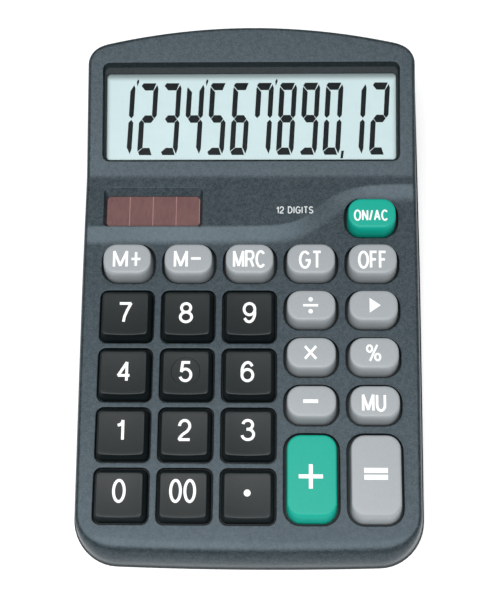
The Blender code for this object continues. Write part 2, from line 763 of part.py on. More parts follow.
# --- Rubber mat -----------------------------------------------------------
mat_low = -BOARD_LEVEL + TOUCH_GAP
mat_high = mat_low + MAT_THICKNESS
dome_top = -WALL - TOUCH_GAP - KEY_FLANGE_THICKNESS - STEM_LENGTH - TOUCH_GAP
mat_half = (COLUMNS - 1) * COLUMN_PITCH / 2 + WELL_WIDTH / 2 + MAT_BORDER
lobe_left = (COLUMNS - 1) * COLUMN_PITCH / 2 - WELL_WIDTH / 2 - MAT_BORDER
mat_outline = [
    (-mat_half, PAD_FRONT - MAT_BORDER),
    (mat_half, PAD_FRONT - MAT_BORDER),
    (mat_half, TOP_ROW_END + MAT_BORDER),
    (lobe_left, TOP_ROW_END + MAT_BORDER),
    (lobe_left, MEMORY_ROW_END + MAT_BORDER),
    (-mat_half, MEMORY_ROW_END + MAT_BORDER),
]
key_mat = prism("key_mat", mat_outline, mat_low, mat_high, DECK, PARTS, RUBBER)


def domes(label, shrink, low, high):
    """One cone under each key, and two under a tall one."""
    cones = []
    for name, (column, row, kind) in KEYS.items():
        x, v, depth, _ = key_cell(column, row, kind)
        centres = [v - GREY_PITCH / 2, v + GREY_PITCH / 2] if kind == "tall" else [v]
        for i, centre in enumerate(centres):
            shape = bmesh.new()
            bmesh.ops.create_cone(
                shape,
                cap_ends=True,
                segments=8,
                radius1=DOME_RADIUS - shrink,
                radius2=STEM_RADIUS + 0.3 * MM - shrink,
                depth=high - low,
                matrix=Matrix.Translation((x, centre, (low + high) / 2)),
            )
            cones.append(from_bmesh(f"{name}_{label}_{i}", shape, DECK, CUTTERS))
    return joined(cones)


join(key_mat, domes("dome", 0, mat_low + MAT_THICKNESS / 2, dome_top))
cut(key_mat, domes("dome_hollow", DOME_WALL, mat_low - 1 * MM, dome_top - DOME_WALL))


# --- Keys -----------------------------------------------------------------
def make_key(name, column, row, kind):
    """A hollow cap with a lip under the deck and a stem that rests on its dome."""
    x, v, depth, corner = key_cell(column, row, kind)
    width = WELL_WIDTH - 2 * KEY_GAP
    length = depth - 2 * KEY_GAP
    flange_top = -WALL - TOUCH_GAP
    flange_low = flange_top - KEY_FLANGE_THICKNESS
    stem_low = flange_low - STEM_LENGTH
    ceiling = KEY_RISE - KEY_WALL
    stem_length = GREY_PITCH + 2 * STEM_RADIUS if kind == "tall" else 2 * STEM_RADIUS
    corner = corner - KEY_GAP

    def section(grow, z):
        points = rounded_rectangle(width + 2 * grow, length + 2 * grow, max(corner + grow, 0.5 * MM))
        return [(px, py, z) for px, py in points]

    def stem(z):
        points = rounded_rectangle(2 * STEM_RADIUS, stem_length, STEM_RADIUS - 0.2 * MM)
        return [(px, py, z) for px, py in points]

    rings = [
        stem(stem_low),
        stem(ceiling),
        section(-KEY_TAPER - KEY_WALL, ceiling),
        section(-KEY_WALL, flange_low),
        section(KEY_FLANGE + KEY_GAP, flange_low),
        section(KEY_FLANGE + KEY_GAP, flange_top),
        section(0, flange_top),
        section(-KEY_TAPER * 0.8, KEY_RISE - 0.6 * MM),
        section(-KEY_TAPER - 0.5 * MM, KEY_RISE),
    ]
    finish = GREEN_PLASTIC if name in GREEN_KEYS else GREY_PLASTIC
    if kind == "black":
        finish = BLACK_PLASTIC
    place = DECK @ Matrix.Translation((x, v, 0))
    return loft(name, rings, place, PARTS, finish)


for key_name, cell in KEYS.items():
    make_key(key_name, *cell)

# --- Bottom case and battery bay ------------------------------------------
floor_top = UNDERSIDE_Z + FLOOR
bay_fit = SPRING_SPACE + 2 * CONTACT_THICKNESS + 3 * TOUCH_GAP
bay_half_length = (BATTERY_LENGTH + BATTERY_TIP.y + bay_fit) / 2
bay_rear = LENGTH - BAY_REAR_MARGIN
bay_depth = 2 * BATTERY_RADIUS + 2 * BATTERY_ROOM
bay_front = bay_rear - bay_depth
tongue_low = floor_top + SLIDE_GAP
tongue_top = tongue_low + DOOR_TONGUE.z
battery_z = tongue_top + 0.6 * MM + BATTERY_RADIUS
battery_y = (bay_front + bay_rear) / 2
bay_top = battery_z + BATTERY_RADIUS + 0.6 * MM
contact_x = bay_half_length - TOUCH_GAP - CONTACT_THICKNESS
door_lip_top = UNDERSIDE_Z + DOOR_LIP_HEIGHT


def lower_skin(name):
    return loft(
        name,
        [
            ring(BASE_INSET + 1.0 * MM, UNDERSIDE_Z),
            ring(BASE_INSET - 0.4 * MM, UNDERSIDE_Z + 1.2 * MM),
            ring(0, over_parting(-TOUCH_GAP)),
        ],
        LEVEL,
        CUTTERS,
    )


def lower_hollow(name):
    return loft(
        name,
        [
            ring(BASE_INSET + WALL, floor_top),
            ring(WALL, over_parting(0)),
            ring(WALL, over_parting(5 * MM)),
        ],
        LEVEL,
        CUTTERS,
    )


def as_part(made, name, finish):
    CUTTERS.objects.unlink(made)
    PARTS.objects.link(made)
    made.name = name
    made.hide_render = False
    made.display_type = "TEXTURED"
    made.data.materials.append(finish)
    return made


bottom_case = as_part(lower_skin("bottom_skin"), "bottom_case", LOWER_PLASTIC)
cut(bottom_case, lower_hollow("bottom_hollow"))
lip_inset = WALL + 0.6 * MM
lip = loft(
    "parting_lip",
    [
        ring(WALL * 0.75, over_parting(-1.4 * MM)),
        ring(WALL * 0.75, over_parting(-0.9 * MM)),
        ring(lip_inset, over_parting(-0.9 * MM)),
        ring(lip_inset, over_parting(LIP_HEIGHT)),
    ],
    LEVEL,
    CUTTERS,
)
lip_core = loft(
    "parting_lip_core",
    [
        ring(lip_inset + LIP_THICKNESS, over_parting(-4 * MM)),
        ring(lip_inset + LIP_THICKNESS, over_parting(LIP_HEIGHT + 2 * MM)),
    ],
    LEVEL,
    CUTTERS,
)
cut(lip, lip_core)
join(bottom_case, lip)
bay_shell = box(
    "bay_shell",
    (-bay_half_length - INNER_WALL, bay_front - INNER_WALL, floor_top - FLOOR / 2),
    (bay_half_length + INNER_WALL, bay_rear + INNER_WALL, bay_top + INNER_WALL),
    LEVEL,
    CUTTERS,
)
join(bottom_case, bay_shell)
post_radius = SCREW_HEAD_RADIUS + SCREW_PLAY + BOSS_WALL
for name, (x, y) in CASE_SCREWS.items():
    join(bottom_case, boss(name + "_post", x, y, LEVEL, post_radius, floor_top - FLOOR / 2, POST_TOP))
lip_front = bay_rear + INNER_WALL + SLIDE_GAP
bay_profile = [
    (bay_front, UNDERSIDE_Z - 5 * MM),
    (bay_front, bay_top),
    (bay_rear, bay_top),
    (bay_rear, floor_top + SLIDE_GAP),
    (lip_front, floor_top + SLIDE_GAP),
    (lip_front, door_lip_top + SLIDE_GAP),
    (LENGTH + 10 * MM, door_lip_top + SLIDE_GAP),
    (LENGTH + 10 * MM, UNDERSIDE_Z - 5 * MM),
]
bay_space = side_prism("bay_space", bay_profile, bay_half_length)
tongue_gap = box(
    "tongue_gap",
    (-DOOR_TONGUE.x / 2 - SLIDE_GAP, bay_front - INNER_WALL - 3 * MM, floor_top),
    (DOOR_TONGUE.x / 2 + SLIDE_GAP, bay_front + 1 * MM, tongue_top + SLIDE_GAP),
    LEVEL,
    CUTTERS,
)
slot_depth = 1.4 * MM
slots = [
    box(
        f"contact_slot_{side}",
        (
            side * (bay_half_length - slot_depth / 2) - slot_depth / 2 - 0.1 * MM,
            battery_y - CONTACT_WIDTH / 4 - TOUCH_GAP,
            bay_top - 1 * MM,
        ),
        (
            side * (bay_half_length - slot_depth / 2) + slot_depth / 2 + 0.1 * MM,
            battery_y + CONTACT_WIDTH / 4 + TOUCH_GAP,
            bay_top + INNER_WALL + 1 * MM,
        ),
        LEVEL,
        CUTTERS,
    )
    for side in (-1, 1)
]
cut(bottom_case, bay_space, tongue_gap, joined(slots))
head_bore = SCREW_HEAD_RADIUS + SCREW_PLAY
shank_bore = SCREW_RADIUS + SCREW_PLAY
head_seat = POST_TOP - SCREW_SEAT
shank_bores = []
counterbores = []
for name, (x, y) in CASE_SCREWS.items():
    low = UNDERSIDE_Z - 5 * MM
    shank_bores.append(cylinder(name + "_bore", (x, y), shank_bore, low, POST_TOP + 2 * MM, LEVEL, CUTTERS))
    counterbores.append(cylinder(name + "_counterbore", (x, y), head_bore, low, head_seat, LEVEL, CUTTERS))
cut(bottom_case, joined(shank_bores), joined(counterbores))
foot_seats = [
    cylinder(
        name + "_seat",
        place,
        FOOT_RADIUS + TOUCH_GAP,
        -5 * MM,
        UNDERSIDE_Z + FOOT_RECESS,
        LEVEL,
        CUTTERS,
    )
    for name, place in FEET.items()
]
cut(bottom_case, joined(foot_seats))

# --- Battery door ---------------------------------------------------------
door = as_part(lower_skin("door_skin"), "battery_door", LOWER_PLASTIC)
door_plate = box(
    "door_plate",
    (-bay_half_length + SLIDE_GAP, bay_front + SLIDE_GAP, UNDERSIDE_Z - 5 * MM),
    (bay_half_length - SLIDE_GAP, LENGTH + 10 * MM, floor_top),
    LEVEL,
    CUTTERS,
)
door_lip = box(
    "door_lip",
    (-bay_half_length + SLIDE_GAP, lip_front + SLIDE_GAP, UNDERSIDE_Z - 4 * MM),
    (bay_half_length - SLIDE_GAP, LENGTH + 11 * MM, door_lip_top),
    LEVEL,
    CUTTERS,
)
join(door_plate, door_lip)
keep_inside(door, door_plate)
cut(door, lower_hollow("door_hollow"))
tongue_root = box(
    "tongue_root",
    (-DOOR_TONGUE.x / 2, bay_front + 2 * SLIDE_GAP, floor_top - FLOOR / 2),
    (DOOR_TONGUE.x / 2, bay_front + 3 * MM, tongue_top),
    LEVEL,
    CUTTERS,
)
tongue_end = box(
    "tongue_end",
    (-DOOR_TONGUE.x / 2, bay_front - DOOR_TONGUE.y + 1 * MM, tongue_low),
    (DOOR_TONGUE.x / 2, bay_front + 2 * MM, tongue_top),
    LEVEL,
    CUTTERS,
)
join(tongue_root, tongue_end)
join(door, tongue_root)

# --- Battery and contacts -------------------------------------------------
plus_end = contact_x - TOUCH_GAP
battery_profile = [
    (0, BATTERY_LENGTH + BATTERY_TIP.y),
    (BATTERY_TIP.x, BATTERY_LENGTH + BATTERY_TIP.y),
    (BATTERY_TIP.x, BATTERY_LENGTH),
    (BATTERY_RADIUS - 0.4 * MM, BATTERY_LENGTH),
    (BATTERY_RADIUS, BATTERY_LENGTH - 0.4 * MM),
    (BATTERY_RADIUS, 0.4 * MM),
    (BATTERY_RADIUS - 0.4 * MM, 0),
    (0, 0),
]
battery_low_x = plus_end - BATTERY_LENGTH - BATTERY_TIP.y
along_x = Matrix.Rotation(math.pi / 2, 4, "Y")
battery_frame = LEVEL @ Matrix.Translation((battery_low_x, battery_y, battery_z)) @ along_x
turned("battery_cell", battery_profile, battery_frame, BATTERY_WRAP, steps=24)

tab_top = bay_top + INNER_WALL + 1.2 * MM
plate = box(
    "battery_contact_plate",
    (contact_x, battery_y - CONTACT_WIDTH / 2, battery_z - CONTACT_WIDTH / 2),
    (contact_x + CONTACT_THICKNESS, battery_y + CONTACT_WIDTH / 2, bay_top - 0.4 * MM),
    LEVEL,
    PARTS,
    STEEL,
)
plate_tab = box(
    "contact_plate_tab",
    (contact_x, battery_y - CONTACT_WIDTH / 4, bay_top - 2 * MM),
    (contact_x + CONTACT_THICKNESS, battery_y + CONTACT_WIDTH / 4, tab_top),
    LEVEL,
    CUTTERS,
)
join(plate, plate_tab)

spring_start = -bay_half_length + TOUCH_GAP + SPRING_WIRE
spring_end = battery_low_x - TOUCH_GAP - SPRING_WIRE
spring_points = [
    (spring_start, battery_y, tab_top),
    (spring_start, battery_y, battery_z + 5 * MM),
]
for step in range(SPRING_TURNS * 10 + 1):
    share = step / (SPRING_TURNS * 10)
    turn = math.pi / 2 - 2 * math.pi * SPRING_TURNS * share
    radius = (4.2 - 1.6 * share) * MM
    x = spring_start + (spring_end - spring_start) * share
    spring_points.append((x, battery_y + radius * math.cos(turn), battery_z + radius * math.sin(turn)))
wire("battery_spring", spring_points, SPRING_WIRE, STEEL)

# --- Screws and feet ------------------------------------------------------


def screw(name, frame, radius, head_radius, head_height, thread):
    """A pan head, its shank and a short point, head downwards at z = 0."""
    profile = [
        (0, thread),
        (radius * 0.45, thread),
        (radius, thread - radius),
        (radius, 0),
        (head_radius, 0),
        (head_radius, -head_height * 0.55),
        (head_radius * 0.72, -head_height),
        (0, -head_height),
    ]
    return turned(name, profile, frame, STEEL, steps=12)


for name, (x, y) in CASE_SCREWS.items():
    place = LEVEL @ Matrix.Translation((x, y, head_seat - TOUCH_GAP))
    reach = SCREW_SEAT + TOUCH_GAP + SCREW_THREAD - SCREW_PLAY
    screw(name, place, SCREW_RADIUS, SCREW_HEAD_RADIUS, SCREW_HEAD_HEIGHT, reach)
for name, (x, y) in BOARD_SCREWS.items():
    place = DECK @ Matrix.Translation((x, y / math.cos(DECK_ANGLE), board_low - TOUCH_GAP))
    reach = BOARD_THICKNESS + TOUCH_GAP + SMALL_THREAD - SCREW_PLAY
    screw(name, place, SMALL_SCREW_RADIUS, SMALL_HEAD_RADIUS, SMALL_HEAD_HEIGHT, reach)
for name, x in HOLDER_SCREWS.items():
    place = HOOD @ Matrix.Translation((x, HOLDER_SCREW_V, holder_low - TOUCH_GAP))
    reach = HOLDER_THICKNESS + TOUCH_GAP + min(SMALL_THREAD, -WALL - holder_top) - SCREW_PLAY
    screw(name, place, SMALL_SCREW_RADIUS, SMALL_HEAD_RADIUS, SMALL_HEAD_HEIGHT, reach)

foot_profile = [
    (0, FOOT_HEIGHT),
    (FOOT_RADIUS, FOOT_HEIGHT),
    (FOOT_RADIUS, 0.3 * MM),
    (FOOT_RADIUS - 0.3 * MM, 0),
    (0, 0),
]
for name, (x, y) in FEET.items():
    turned(name, foot_profile, LEVEL @ Matrix.Translation((x, y, 0)), FOOT_RUBBER)


# --- Ribbon and leads -----------------------------------------------------
def to_level(frame, point):
    """A point given on a sloped face, in the level frame."""
    return LEVEL.inverted() @ frame @ Vector(point)


ribbon_glass = to_level(HOOD, (0, window_low_v + 7 * MM, lcd_top - LCD_THICKNESS - TOUCH_GAP))
ribbon_board = to_level(DECK, (0, board_rear - 2.5 * MM, -BOARD_LEVEL + TOUCH_GAP))
ribbon_guides = [
    ribbon_glass + Vector((0, 3.0, 0.98)) * MM,
    ribbon_glass,
    ribbon_glass + Vector((0, -1.5, -2.5)) * MM,
    ribbon_glass + Vector((0, -1.0, -5.0)) * MM,
    ribbon_board + Vector((0, 8.0, 0.6)) * MM,
    ribbon_board + Vector((0, 2.0, 0.35)) * MM,
    ribbon_board,
]
ribbon_shape = bmesh.new()
ribbon_rows = [
    [ribbon_shape.verts.new((x, point.y, point.z)) for x in (-RIBBON_WIDTH / 2, RIBBON_WIDTH / 2)]
    for point in smooth_path(ribbon_guides, 3)
]
for first, second in zip(ribbon_rows, ribbon_rows[1:]):
    ribbon_shape.faces.new((first[0], first[1], second[1], second[0]))
ribbon = from_bmesh("lcd_ribbon", ribbon_shape, LEVEL, PARTS, RIBBON_FILM)
thicken = ribbon.modifiers.new("thickness", "SOLIDIFY")
thicken.thickness = RIBBON_THICKNESS
thicken.offset = 0

lead_gap = TOUCH_GAP + WIRE_RADIUS
tab_end = Vector((contact_x + CONTACT_THICKNESS / 2, battery_y, tab_top + TOUCH_GAP))
spring_tab = Vector((spring_start, battery_y, tab_top + TOUCH_GAP))
for name, start, finish in (
    ("battery_lead_plus", tab_end, RED_SLEEVE),
    ("battery_lead_minus", spring_tab, BLACK_SLEEVE),
):
    side = math.copysign(1, start.x)
    landing = to_level(DECK, (side * 32 * MM, board_rear - 1.5 * MM, -BOARD_LEVEL + lead_gap))
    guides = [
        start,
        start + Vector((0, -1.5, 1.2)) * MM,
        Vector((side * 29 * MM, bay_front - 1 * MM, bay_top + INNER_WALL + 1.6 * MM)),
        Vector((side * 31 * MM, bay_front - 8 * MM, bay_top - 2 * MM)),
        landing + Vector((0, 6, 0.5)) * MM,
        landing,
    ]
    wire(name, smooth_path(guides, 3), WIRE_RADIUS, finish)
solar_low = -WALL - 2 * TOUCH_GAP - SOLAR_THICKNESS - WIRE_RADIUS
for name, shift, finish in (
    ("solar_lead_plus", -9 * MM, RED_SLEEVE),
    ("solar_lead_minus", 9 * MM, BLACK_SLEEVE),
):
    start = to_level(PLATEAU, (solar_middle[0] + shift, solar_middle[1], solar_low))
    landing = to_level(DECK, (solar_middle[0] + shift * 0.6, board_rear - 6 * MM, -BOARD_LEVEL + lead_gap))
    guides = [
        start,
        start + Vector((0, 2.0, -0.6)) * MM,
        landing + Vector((0, 2.0, 1.2)) * MM,
        landing,
    ]
    wire(name, smooth_path(guides, 3), WIRE_RADIUS, finish)
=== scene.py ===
"""Desk calculator: the visible pieces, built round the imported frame. Metres, +Z up."""

import math

import bmesh
import bpy
import numpy as np
from mathutils import Matrix, Vector
from mathutils.geometry import delaunay_2d_cdt


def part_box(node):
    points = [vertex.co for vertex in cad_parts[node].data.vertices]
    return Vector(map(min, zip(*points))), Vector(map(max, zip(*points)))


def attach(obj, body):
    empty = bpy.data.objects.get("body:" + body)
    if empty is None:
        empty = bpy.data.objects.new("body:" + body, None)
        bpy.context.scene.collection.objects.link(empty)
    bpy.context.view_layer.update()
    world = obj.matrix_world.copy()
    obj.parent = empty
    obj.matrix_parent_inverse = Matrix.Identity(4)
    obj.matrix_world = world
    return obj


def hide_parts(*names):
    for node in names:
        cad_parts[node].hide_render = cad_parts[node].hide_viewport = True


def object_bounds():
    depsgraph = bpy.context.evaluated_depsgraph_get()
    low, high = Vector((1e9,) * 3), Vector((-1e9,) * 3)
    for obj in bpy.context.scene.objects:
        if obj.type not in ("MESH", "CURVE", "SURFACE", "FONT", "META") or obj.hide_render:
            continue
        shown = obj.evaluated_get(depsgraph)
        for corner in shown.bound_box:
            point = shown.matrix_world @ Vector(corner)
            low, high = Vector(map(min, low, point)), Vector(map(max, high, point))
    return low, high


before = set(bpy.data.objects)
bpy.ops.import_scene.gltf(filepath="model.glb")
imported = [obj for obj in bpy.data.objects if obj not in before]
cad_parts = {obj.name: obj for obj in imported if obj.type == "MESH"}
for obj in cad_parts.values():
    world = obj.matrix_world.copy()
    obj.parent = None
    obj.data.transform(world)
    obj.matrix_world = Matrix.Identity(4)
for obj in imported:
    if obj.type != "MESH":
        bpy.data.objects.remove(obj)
CAD_LOW, CAD_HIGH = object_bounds()

MM = 0.001

# --- Case, as the frame has it ----------------------------------------------
HALF_WIDTH = CAD_HIGH.x
LENGTH = CAD_HIGH.y - CAD_LOW.y
DECK_ANGLE = math.radians(6.5)
PLATEAU_ANGLE = math.radians(6.0)
HOOD_ANGLE = math.radians(18.0)
DECK_FRONT_Z = 13.8 * MM
PARTING_FRONT_Z = 5.0 * MM
UNDERSIDE_Z = 1.2 * MM
DECK_END = 110.19 * MM  # foot of the band on the left
LOBE_END = 125.89 * MM  # foot of the band behind the top key
BAND_RUN = 4.98 * MM
BAND_RISE = 1.65 * MM
LOBE_MIDDLE = 26.5 * MM
LOBE_EASE = 10.0 * MM
PLATEAU_START = DECK_END + BAND_RUN
PLATEAU_END = LOBE_END + 7.7 * MM
FRONT_CORNER = 15.0 * MM
REAR_CORNER = 9.0 * MM
FRONT_BULGE = 1.3 * MM
REAR_BULGE = 6.7 * MM
WALL = 2.0 * MM
SEAM = 0.3 * MM  # between the two halves of the case
LEDGE = 0.5 * MM  # the lower half stands out this far under the upper one
FRONT_TAPER = 0.9 * MM  # each side draws in towards the front, from here on
TAPER_START, TAPER_END = 108.0 * MM, 15 * MM
REAR_LEAN = 1.7 * MM  # how much more the rear wall leans in, over its whole height

# --- Small shapes -----------------------------------------------------------
FOOT_SOFTNESS, BROW_SOFTNESS = 0.3, 0.1  # shares of the band's run that its soft edges take
FOLD_SOFTNESS = 0.2 * MM
WELL_LIP = 0.45 * MM
SIDE_RUN, SIDE_DROP = 1.5 * MM, 1.6 * MM  # round-over of the sides and the rear
# The front edge, from the wall up to the deck: run in from the wall, drop under the deck.
FRONT_PROFILE = (
    (0, 6.0),
    (0.3, 5.0),
    (0.75, 4.0),
    (1.3, 3.05),
    (1.95, 2.2),
    (2.55, 1.5),
    (3.1, 0.95),
    (3.7, 0.52),
    (4.6, 0.22),
    (5.8, 0.06),
    (7.0, 0),
)

TAN_DECK = math.tan(DECK_ANGLE)
PLATEAU_Z = DECK_FRONT_Z + PLATEAU_START * TAN_DECK + BAND_RISE
HOOD_Z = PLATEAU_Z + (PLATEAU_END - PLATEAU_START) * math.tan(PLATEAU_ANGLE)


def tilted(y, z, angle):
    """A frame on a sloped face: x along the case, y up the slope, z out of the face."""
    return Matrix.Translation((0, y - LENGTH / 2, z)) @ Matrix.Rotation(angle, 4, "X")


LEVEL = tilted(0, 0, 0)
DECK = tilted(0, DECK_FRONT_Z, DECK_ANGLE)
PLATEAU = tilted(PLATEAU_START, PLATEAU_Z, PLATEAU_ANGLE)
HOOD = tilted(PLATEAU_END, HOOD_Z, HOOD_ANGLE)


def placed(place, points):
    """Local points, N x 3, moved by a matrix."""
    turn = np.array(place.to_3x3())
    return np.asarray(points, float) @ turn.T + np.array(place.translation)


def span(node, place):
    """Lowest and highest corner of a CAD node, measured along a sloped face."""
    points = np.array([v.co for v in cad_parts[node].data.vertices], float)
    local = placed(place.inverted(), points)
    return local.min(0), local.max(0)


# --- Camera, light and floor ------------------------------------------------
CAMERA_TURN = (68.446, 4.606, -4.219)  # elevation, swing and roll, in degrees
CAMERA_X, CAMERA_Y, CAMERA_Z = 13.09 * MM, -71.59 * MM, 432.65 * MM  # y from the front edge
CAMERA_LENS, CAMERA_SENSOR = 76.2, 36
# Each lamp's lean back and sideways in degrees, its distance, size and power.
LAMPS = {
    "front_box": (23, -4, 0.9, (0.78, 0.58), 8.6),
    "ceiling": (-6, 0, 1.3, (2.0, 1.7), 5.2),
}
SKY_COLOUR, SKY_STRENGTH = (0.95, 0.98, 1.0, 1), 0.14
FLOOR_REACH = 1.6  # from the middle to each edge


def look():
    """The camera over the front edge, turned a little, and the studio round it."""
    elevation, swing, roll = (math.radians(a) for a in CAMERA_TURN)
    level = math.cos(elevation)
    back = Vector((math.sin(swing) * level, -math.cos(swing) * level, math.sin(elevation)))
    right = Vector((math.cos(swing), math.sin(swing), 0))
    up = back.cross(right)
    across = math.cos(roll) * right + math.sin(roll) * up
    upward = math.cos(roll) * up - math.sin(roll) * right
    camera = bpy.data.objects.new("camera", bpy.data.cameras.new("camera"))
    camera.data.lens = CAMERA_LENS
    camera.data.sensor_width = CAMERA_SENSOR
    turn = Matrix((across, upward, back)).transposed().to_4x4()
    place = Vector((CAMERA_X, CAMERA_Y - LENGTH / 2, CAMERA_Z))
    camera.matrix_world = Matrix.Translation(place) @ turn
    bpy.context.scene.collection.objects.link(camera)
    bpy.context.scene.camera = camera

    for name, (lean, sideways, distance, size, power) in LAMPS.items():
        lamp = bpy.data.lights.new(name, "AREA")
        lamp.shape = "RECTANGLE"
        lamp.size, lamp.size_y = size
        lamp.energy = power
        lit = bpy.data.objects.new(name, lamp)
        tilt = math.radians(lean)
        aim = Vector((math.sin(math.radians(sideways)), -math.sin(tilt), math.cos(tilt))).normalized()
        facing = aim.to_track_quat("Z", "Y").to_matrix().to_4x4()
        lit.matrix_world = Matrix.Translation(aim * distance) @ facing
        bpy.context.scene.collection.objects.link(lit)

    world = bpy.data.worlds.new("studio")
    world.use_nodes = True
    sky = world.node_tree.nodes["Background"]
    sky.inputs["Color"].default_value = SKY_COLOUR
    sky.inputs["Strength"].default_value = SKY_STRENGTH
    bpy.context.scene.world = world
    bpy.context.scene.view_settings.view_transform = "Standard"


# --- Materials --------------------------------------------------------------
class Value:
    """A socket in a node tree; the usual operators add its Math nodes."""

    def __init__(self, tree, socket):
        self.tree, self.socket = tree, socket

    def math(self, operation, first, second):
        return self.tree.node("ShaderNodeMath", {"operation": operation}, {0: first, 1: second})

    def __add__(self, other):
        return self.math("ADD", self, other)

    def __radd__(self, other):
        return self.math("ADD", other, self)

    def __sub__(self, other):
        return self.math("SUBTRACT", self, other)

    def __rsub__(self, other):
        return self.math("SUBTRACT", other, self)

    def __mul__(self, other):
        return self.math("MULTIPLY", self, other)

    def __rmul__(self, other):
        return self.math("MULTIPLY", other, self)

    def __pow__(self, other):
        return self.math("POWER", self, other)

    def __gt__(self, other):
        return self.math("GREATER_THAN", self, other)

    def eased(self, low, high):
        """0 under low, 1 over high, and smooth between them."""
        settings = {"interpolation_type": "SMOOTHSTEP"}
        return self.tree.node(
            "ShaderNodeMapRange", settings, {"Value": self, "From Min": low, "From Max": high}
        )


class Tree:
    """A node tree and the one method that adds to it."""

    def __init__(self, tree):
        self.tree = tree

    def node(self, kind, settings=None, inputs=None, out=0):
        """A node with its settings, then the values or links of its sockets."""
        made = self.tree.nodes.new(kind)
        for key, value in (settings or {}).items():
            if key == "stops":
                stops = made.color_ramp.elements
                while len(stops) < len(value):
                    stops.new(0.5)
                for stop, (place, colour) in zip(stops, value):
                    stop.position, stop.color = place, colour
            else:
                setattr(made, key, value)
        for key, value in (inputs or {}).items():
            socket = made.inputs[key]
            if isinstance(value, Value):
                self.tree.links.new(value.socket, socket)
            else:
                socket.default_value = value
        return Value(self, made.outputs[out])

    def mix(self, share, first, second):
        """A colour between two others."""
        paint = [c if isinstance(c, Value) else (*c, 1) for c in (first, second)]
        return self.node(
            "ShaderNodeMix", {"data_type": "RGBA"}, {0: share, 6: paint[0], 7: paint[1]}, out=2
        )

    def place(self):
        """Object coordinates."""
        return self.node("ShaderNodeTexCoord", out="Object")

    def axes(self):
        """Object coordinates as x, y and z."""
        place = self.place()
        return [self.node("ShaderNodeSeparateXYZ", None, {0: place}, out=i) for i in range(3)]

    def noise(self, size, detail=2.0, stretch=None):
        """Even noise with grains of a size in metres, from 0 to 1."""
        place = self.place()
        if stretch:
            place = self.node("ShaderNodeMapping", None, {"Vector": place, "Scale": stretch})
        inputs = {"Vector": place, "Scale": 1 / size, "Detail": detail}
        return self.node("ShaderNodeTexNoise", None, inputs)


def material(name, build, **fixed):
    """A material: build() fills the varying sockets, fixed values go on the shader itself."""
    made = bpy.data.materials.new(name)
    made.use_nodes = True
    tree = Tree(made.node_tree)
    shader = made.node_tree.nodes["Principled BSDF"]
    for key, value in fixed.items():
        shader.inputs[key.replace("_", " ")].default_value = value
    for key, value in build(tree).items():
        if isinstance(value, Value):
            made.node_tree.links.new(value.socket, shader.inputs[key])
        else:
            shader.inputs[key].default_value = (*value, 1) if isinstance(value, tuple) else value
    return made


def moulded(name, dark, light, rough, grain, speckle=0.25, relief=0.05, drift=0.1, **fixed):
    """Moulded plastic: a fine speckled grain in colour, gloss and relief, over a slow drift."""

    def build(tree):
        fine = tree.noise(grain, 3.0)
        coarse = tree.noise(grain * 3.1, 2.0)
        slow = tree.noise(30 * MM, 2.0)
        share = 0.5 + speckle * 4 * (fine - 0.5) + speckle * 2 * (coarse - 0.5) + drift * (slow - 0.5)
        share = share.eased(0.0, 1.0)
        colour = tree.mix(share, dark, light)
        height = fine * 0.6 + tree.noise(grain * 0.5, 2.0) * 0.4
        bump = tree.node(
            "ShaderNodeBump", None, {"Height": height, "Strength": relief * 6, "Distance": 0.05 * MM}
        )
        gloss = rough + 0.12 * (slow - 0.5) + 0.1 * (fine - 0.5)
        return {"Base Color": colour, "Roughness": gloss, "Normal": bump}

    return material(name, build, **fixed)


def printed(name, colour, rough):
    """Printing ink: thin, a little uneven in tone and gloss."""

    def build(tree):
        cover = tree.noise(0.25 * MM, 3.0)
        fade = tuple(c * 0.93 for c in colour)
        return {
            "Base Color": tree.mix(cover.eased(0.3, 0.6), fade, colour),
            "Roughness": rough + 0.1 * (cover - 0.5),
        }

    return material(name, build)


def metal(name, colour, rough, stretch=(1, 1, 1)):
    """Plated steel with fine draw marks and a few dull spots."""

    def build(tree):
        marks = tree.noise(0.12 * MM, 4.0, stretch)
        spots = tree.noise(1.4 * MM, 3.0)
        dull = tuple(c * 0.7 for c in colour)
        bump = tree.node("ShaderNodeBump", None, {"Height": marks, "Strength": 0.2, "Distance": 0.02 * MM})
        return {
            "Base Color": tree.mix(spots.eased(0.45, 0.75), colour, dull),
            "Roughness": rough + 0.25 * (marks - 0.5) + 0.15 * spots.eased(0.5, 0.8),
            "Normal": bump,
        }

    return material(name, build, Metallic=1.0)


UPPER = moulded(
    "upper_case_plastic", (0.003, 0.01, 0.013), (0.034, 0.046, 0.052), 0.43, 0.5 * MM, 0.6, 0.16,
    Specular_IOR_Level=0.58,
    Specular_Tint=(0.8, 0.97, 1.1, 1),
)
# A darker, duller copy of the case plastic: painted shade for the walls and shelves inside the openings.
SHADED_RECESS = moulded(
    "recess_painted_shade", (0.004, 0.009, 0.011), (0.017, 0.025, 0.028), 0.5, 0.36 * MM, 0.42, 0.11,
    Specular_IOR_Level=0.2,
)
LOWER = moulded(
    "lower_case_plastic", (0.008, 0.014, 0.016), (0.022, 0.03, 0.033), 0.48, 0.36 * MM, 0.25, 0.06,
    Specular_IOR_Level=0.3,
)
BLACK = moulded(
    "black_key_plastic", (0.003, 0.0065, 0.007), (0.009, 0.014, 0.015), 0.4, 0.3 * MM, 0.18, 0.04,
    Specular_IOR_Level=0.27,
)
GREY = moulded(
    "grey_key_plastic", (0.28, 0.305, 0.32), (0.35, 0.375, 0.39), 0.42, 0.35 * MM, 0.14, 0.03
)
GREEN = moulded(
    "green_key_plastic", (0.002, 0.32, 0.235), (0.006, 0.4, 0.3), 0.45, 0.35 * MM, 0.14, 0.03,
    Specular_IOR_Level=0.25,
)
HOLDER = moulded("holder_plastic", (0.012, 0.012, 0.013), (0.03, 0.03, 0.032), 0.55, 0.4 * MM)
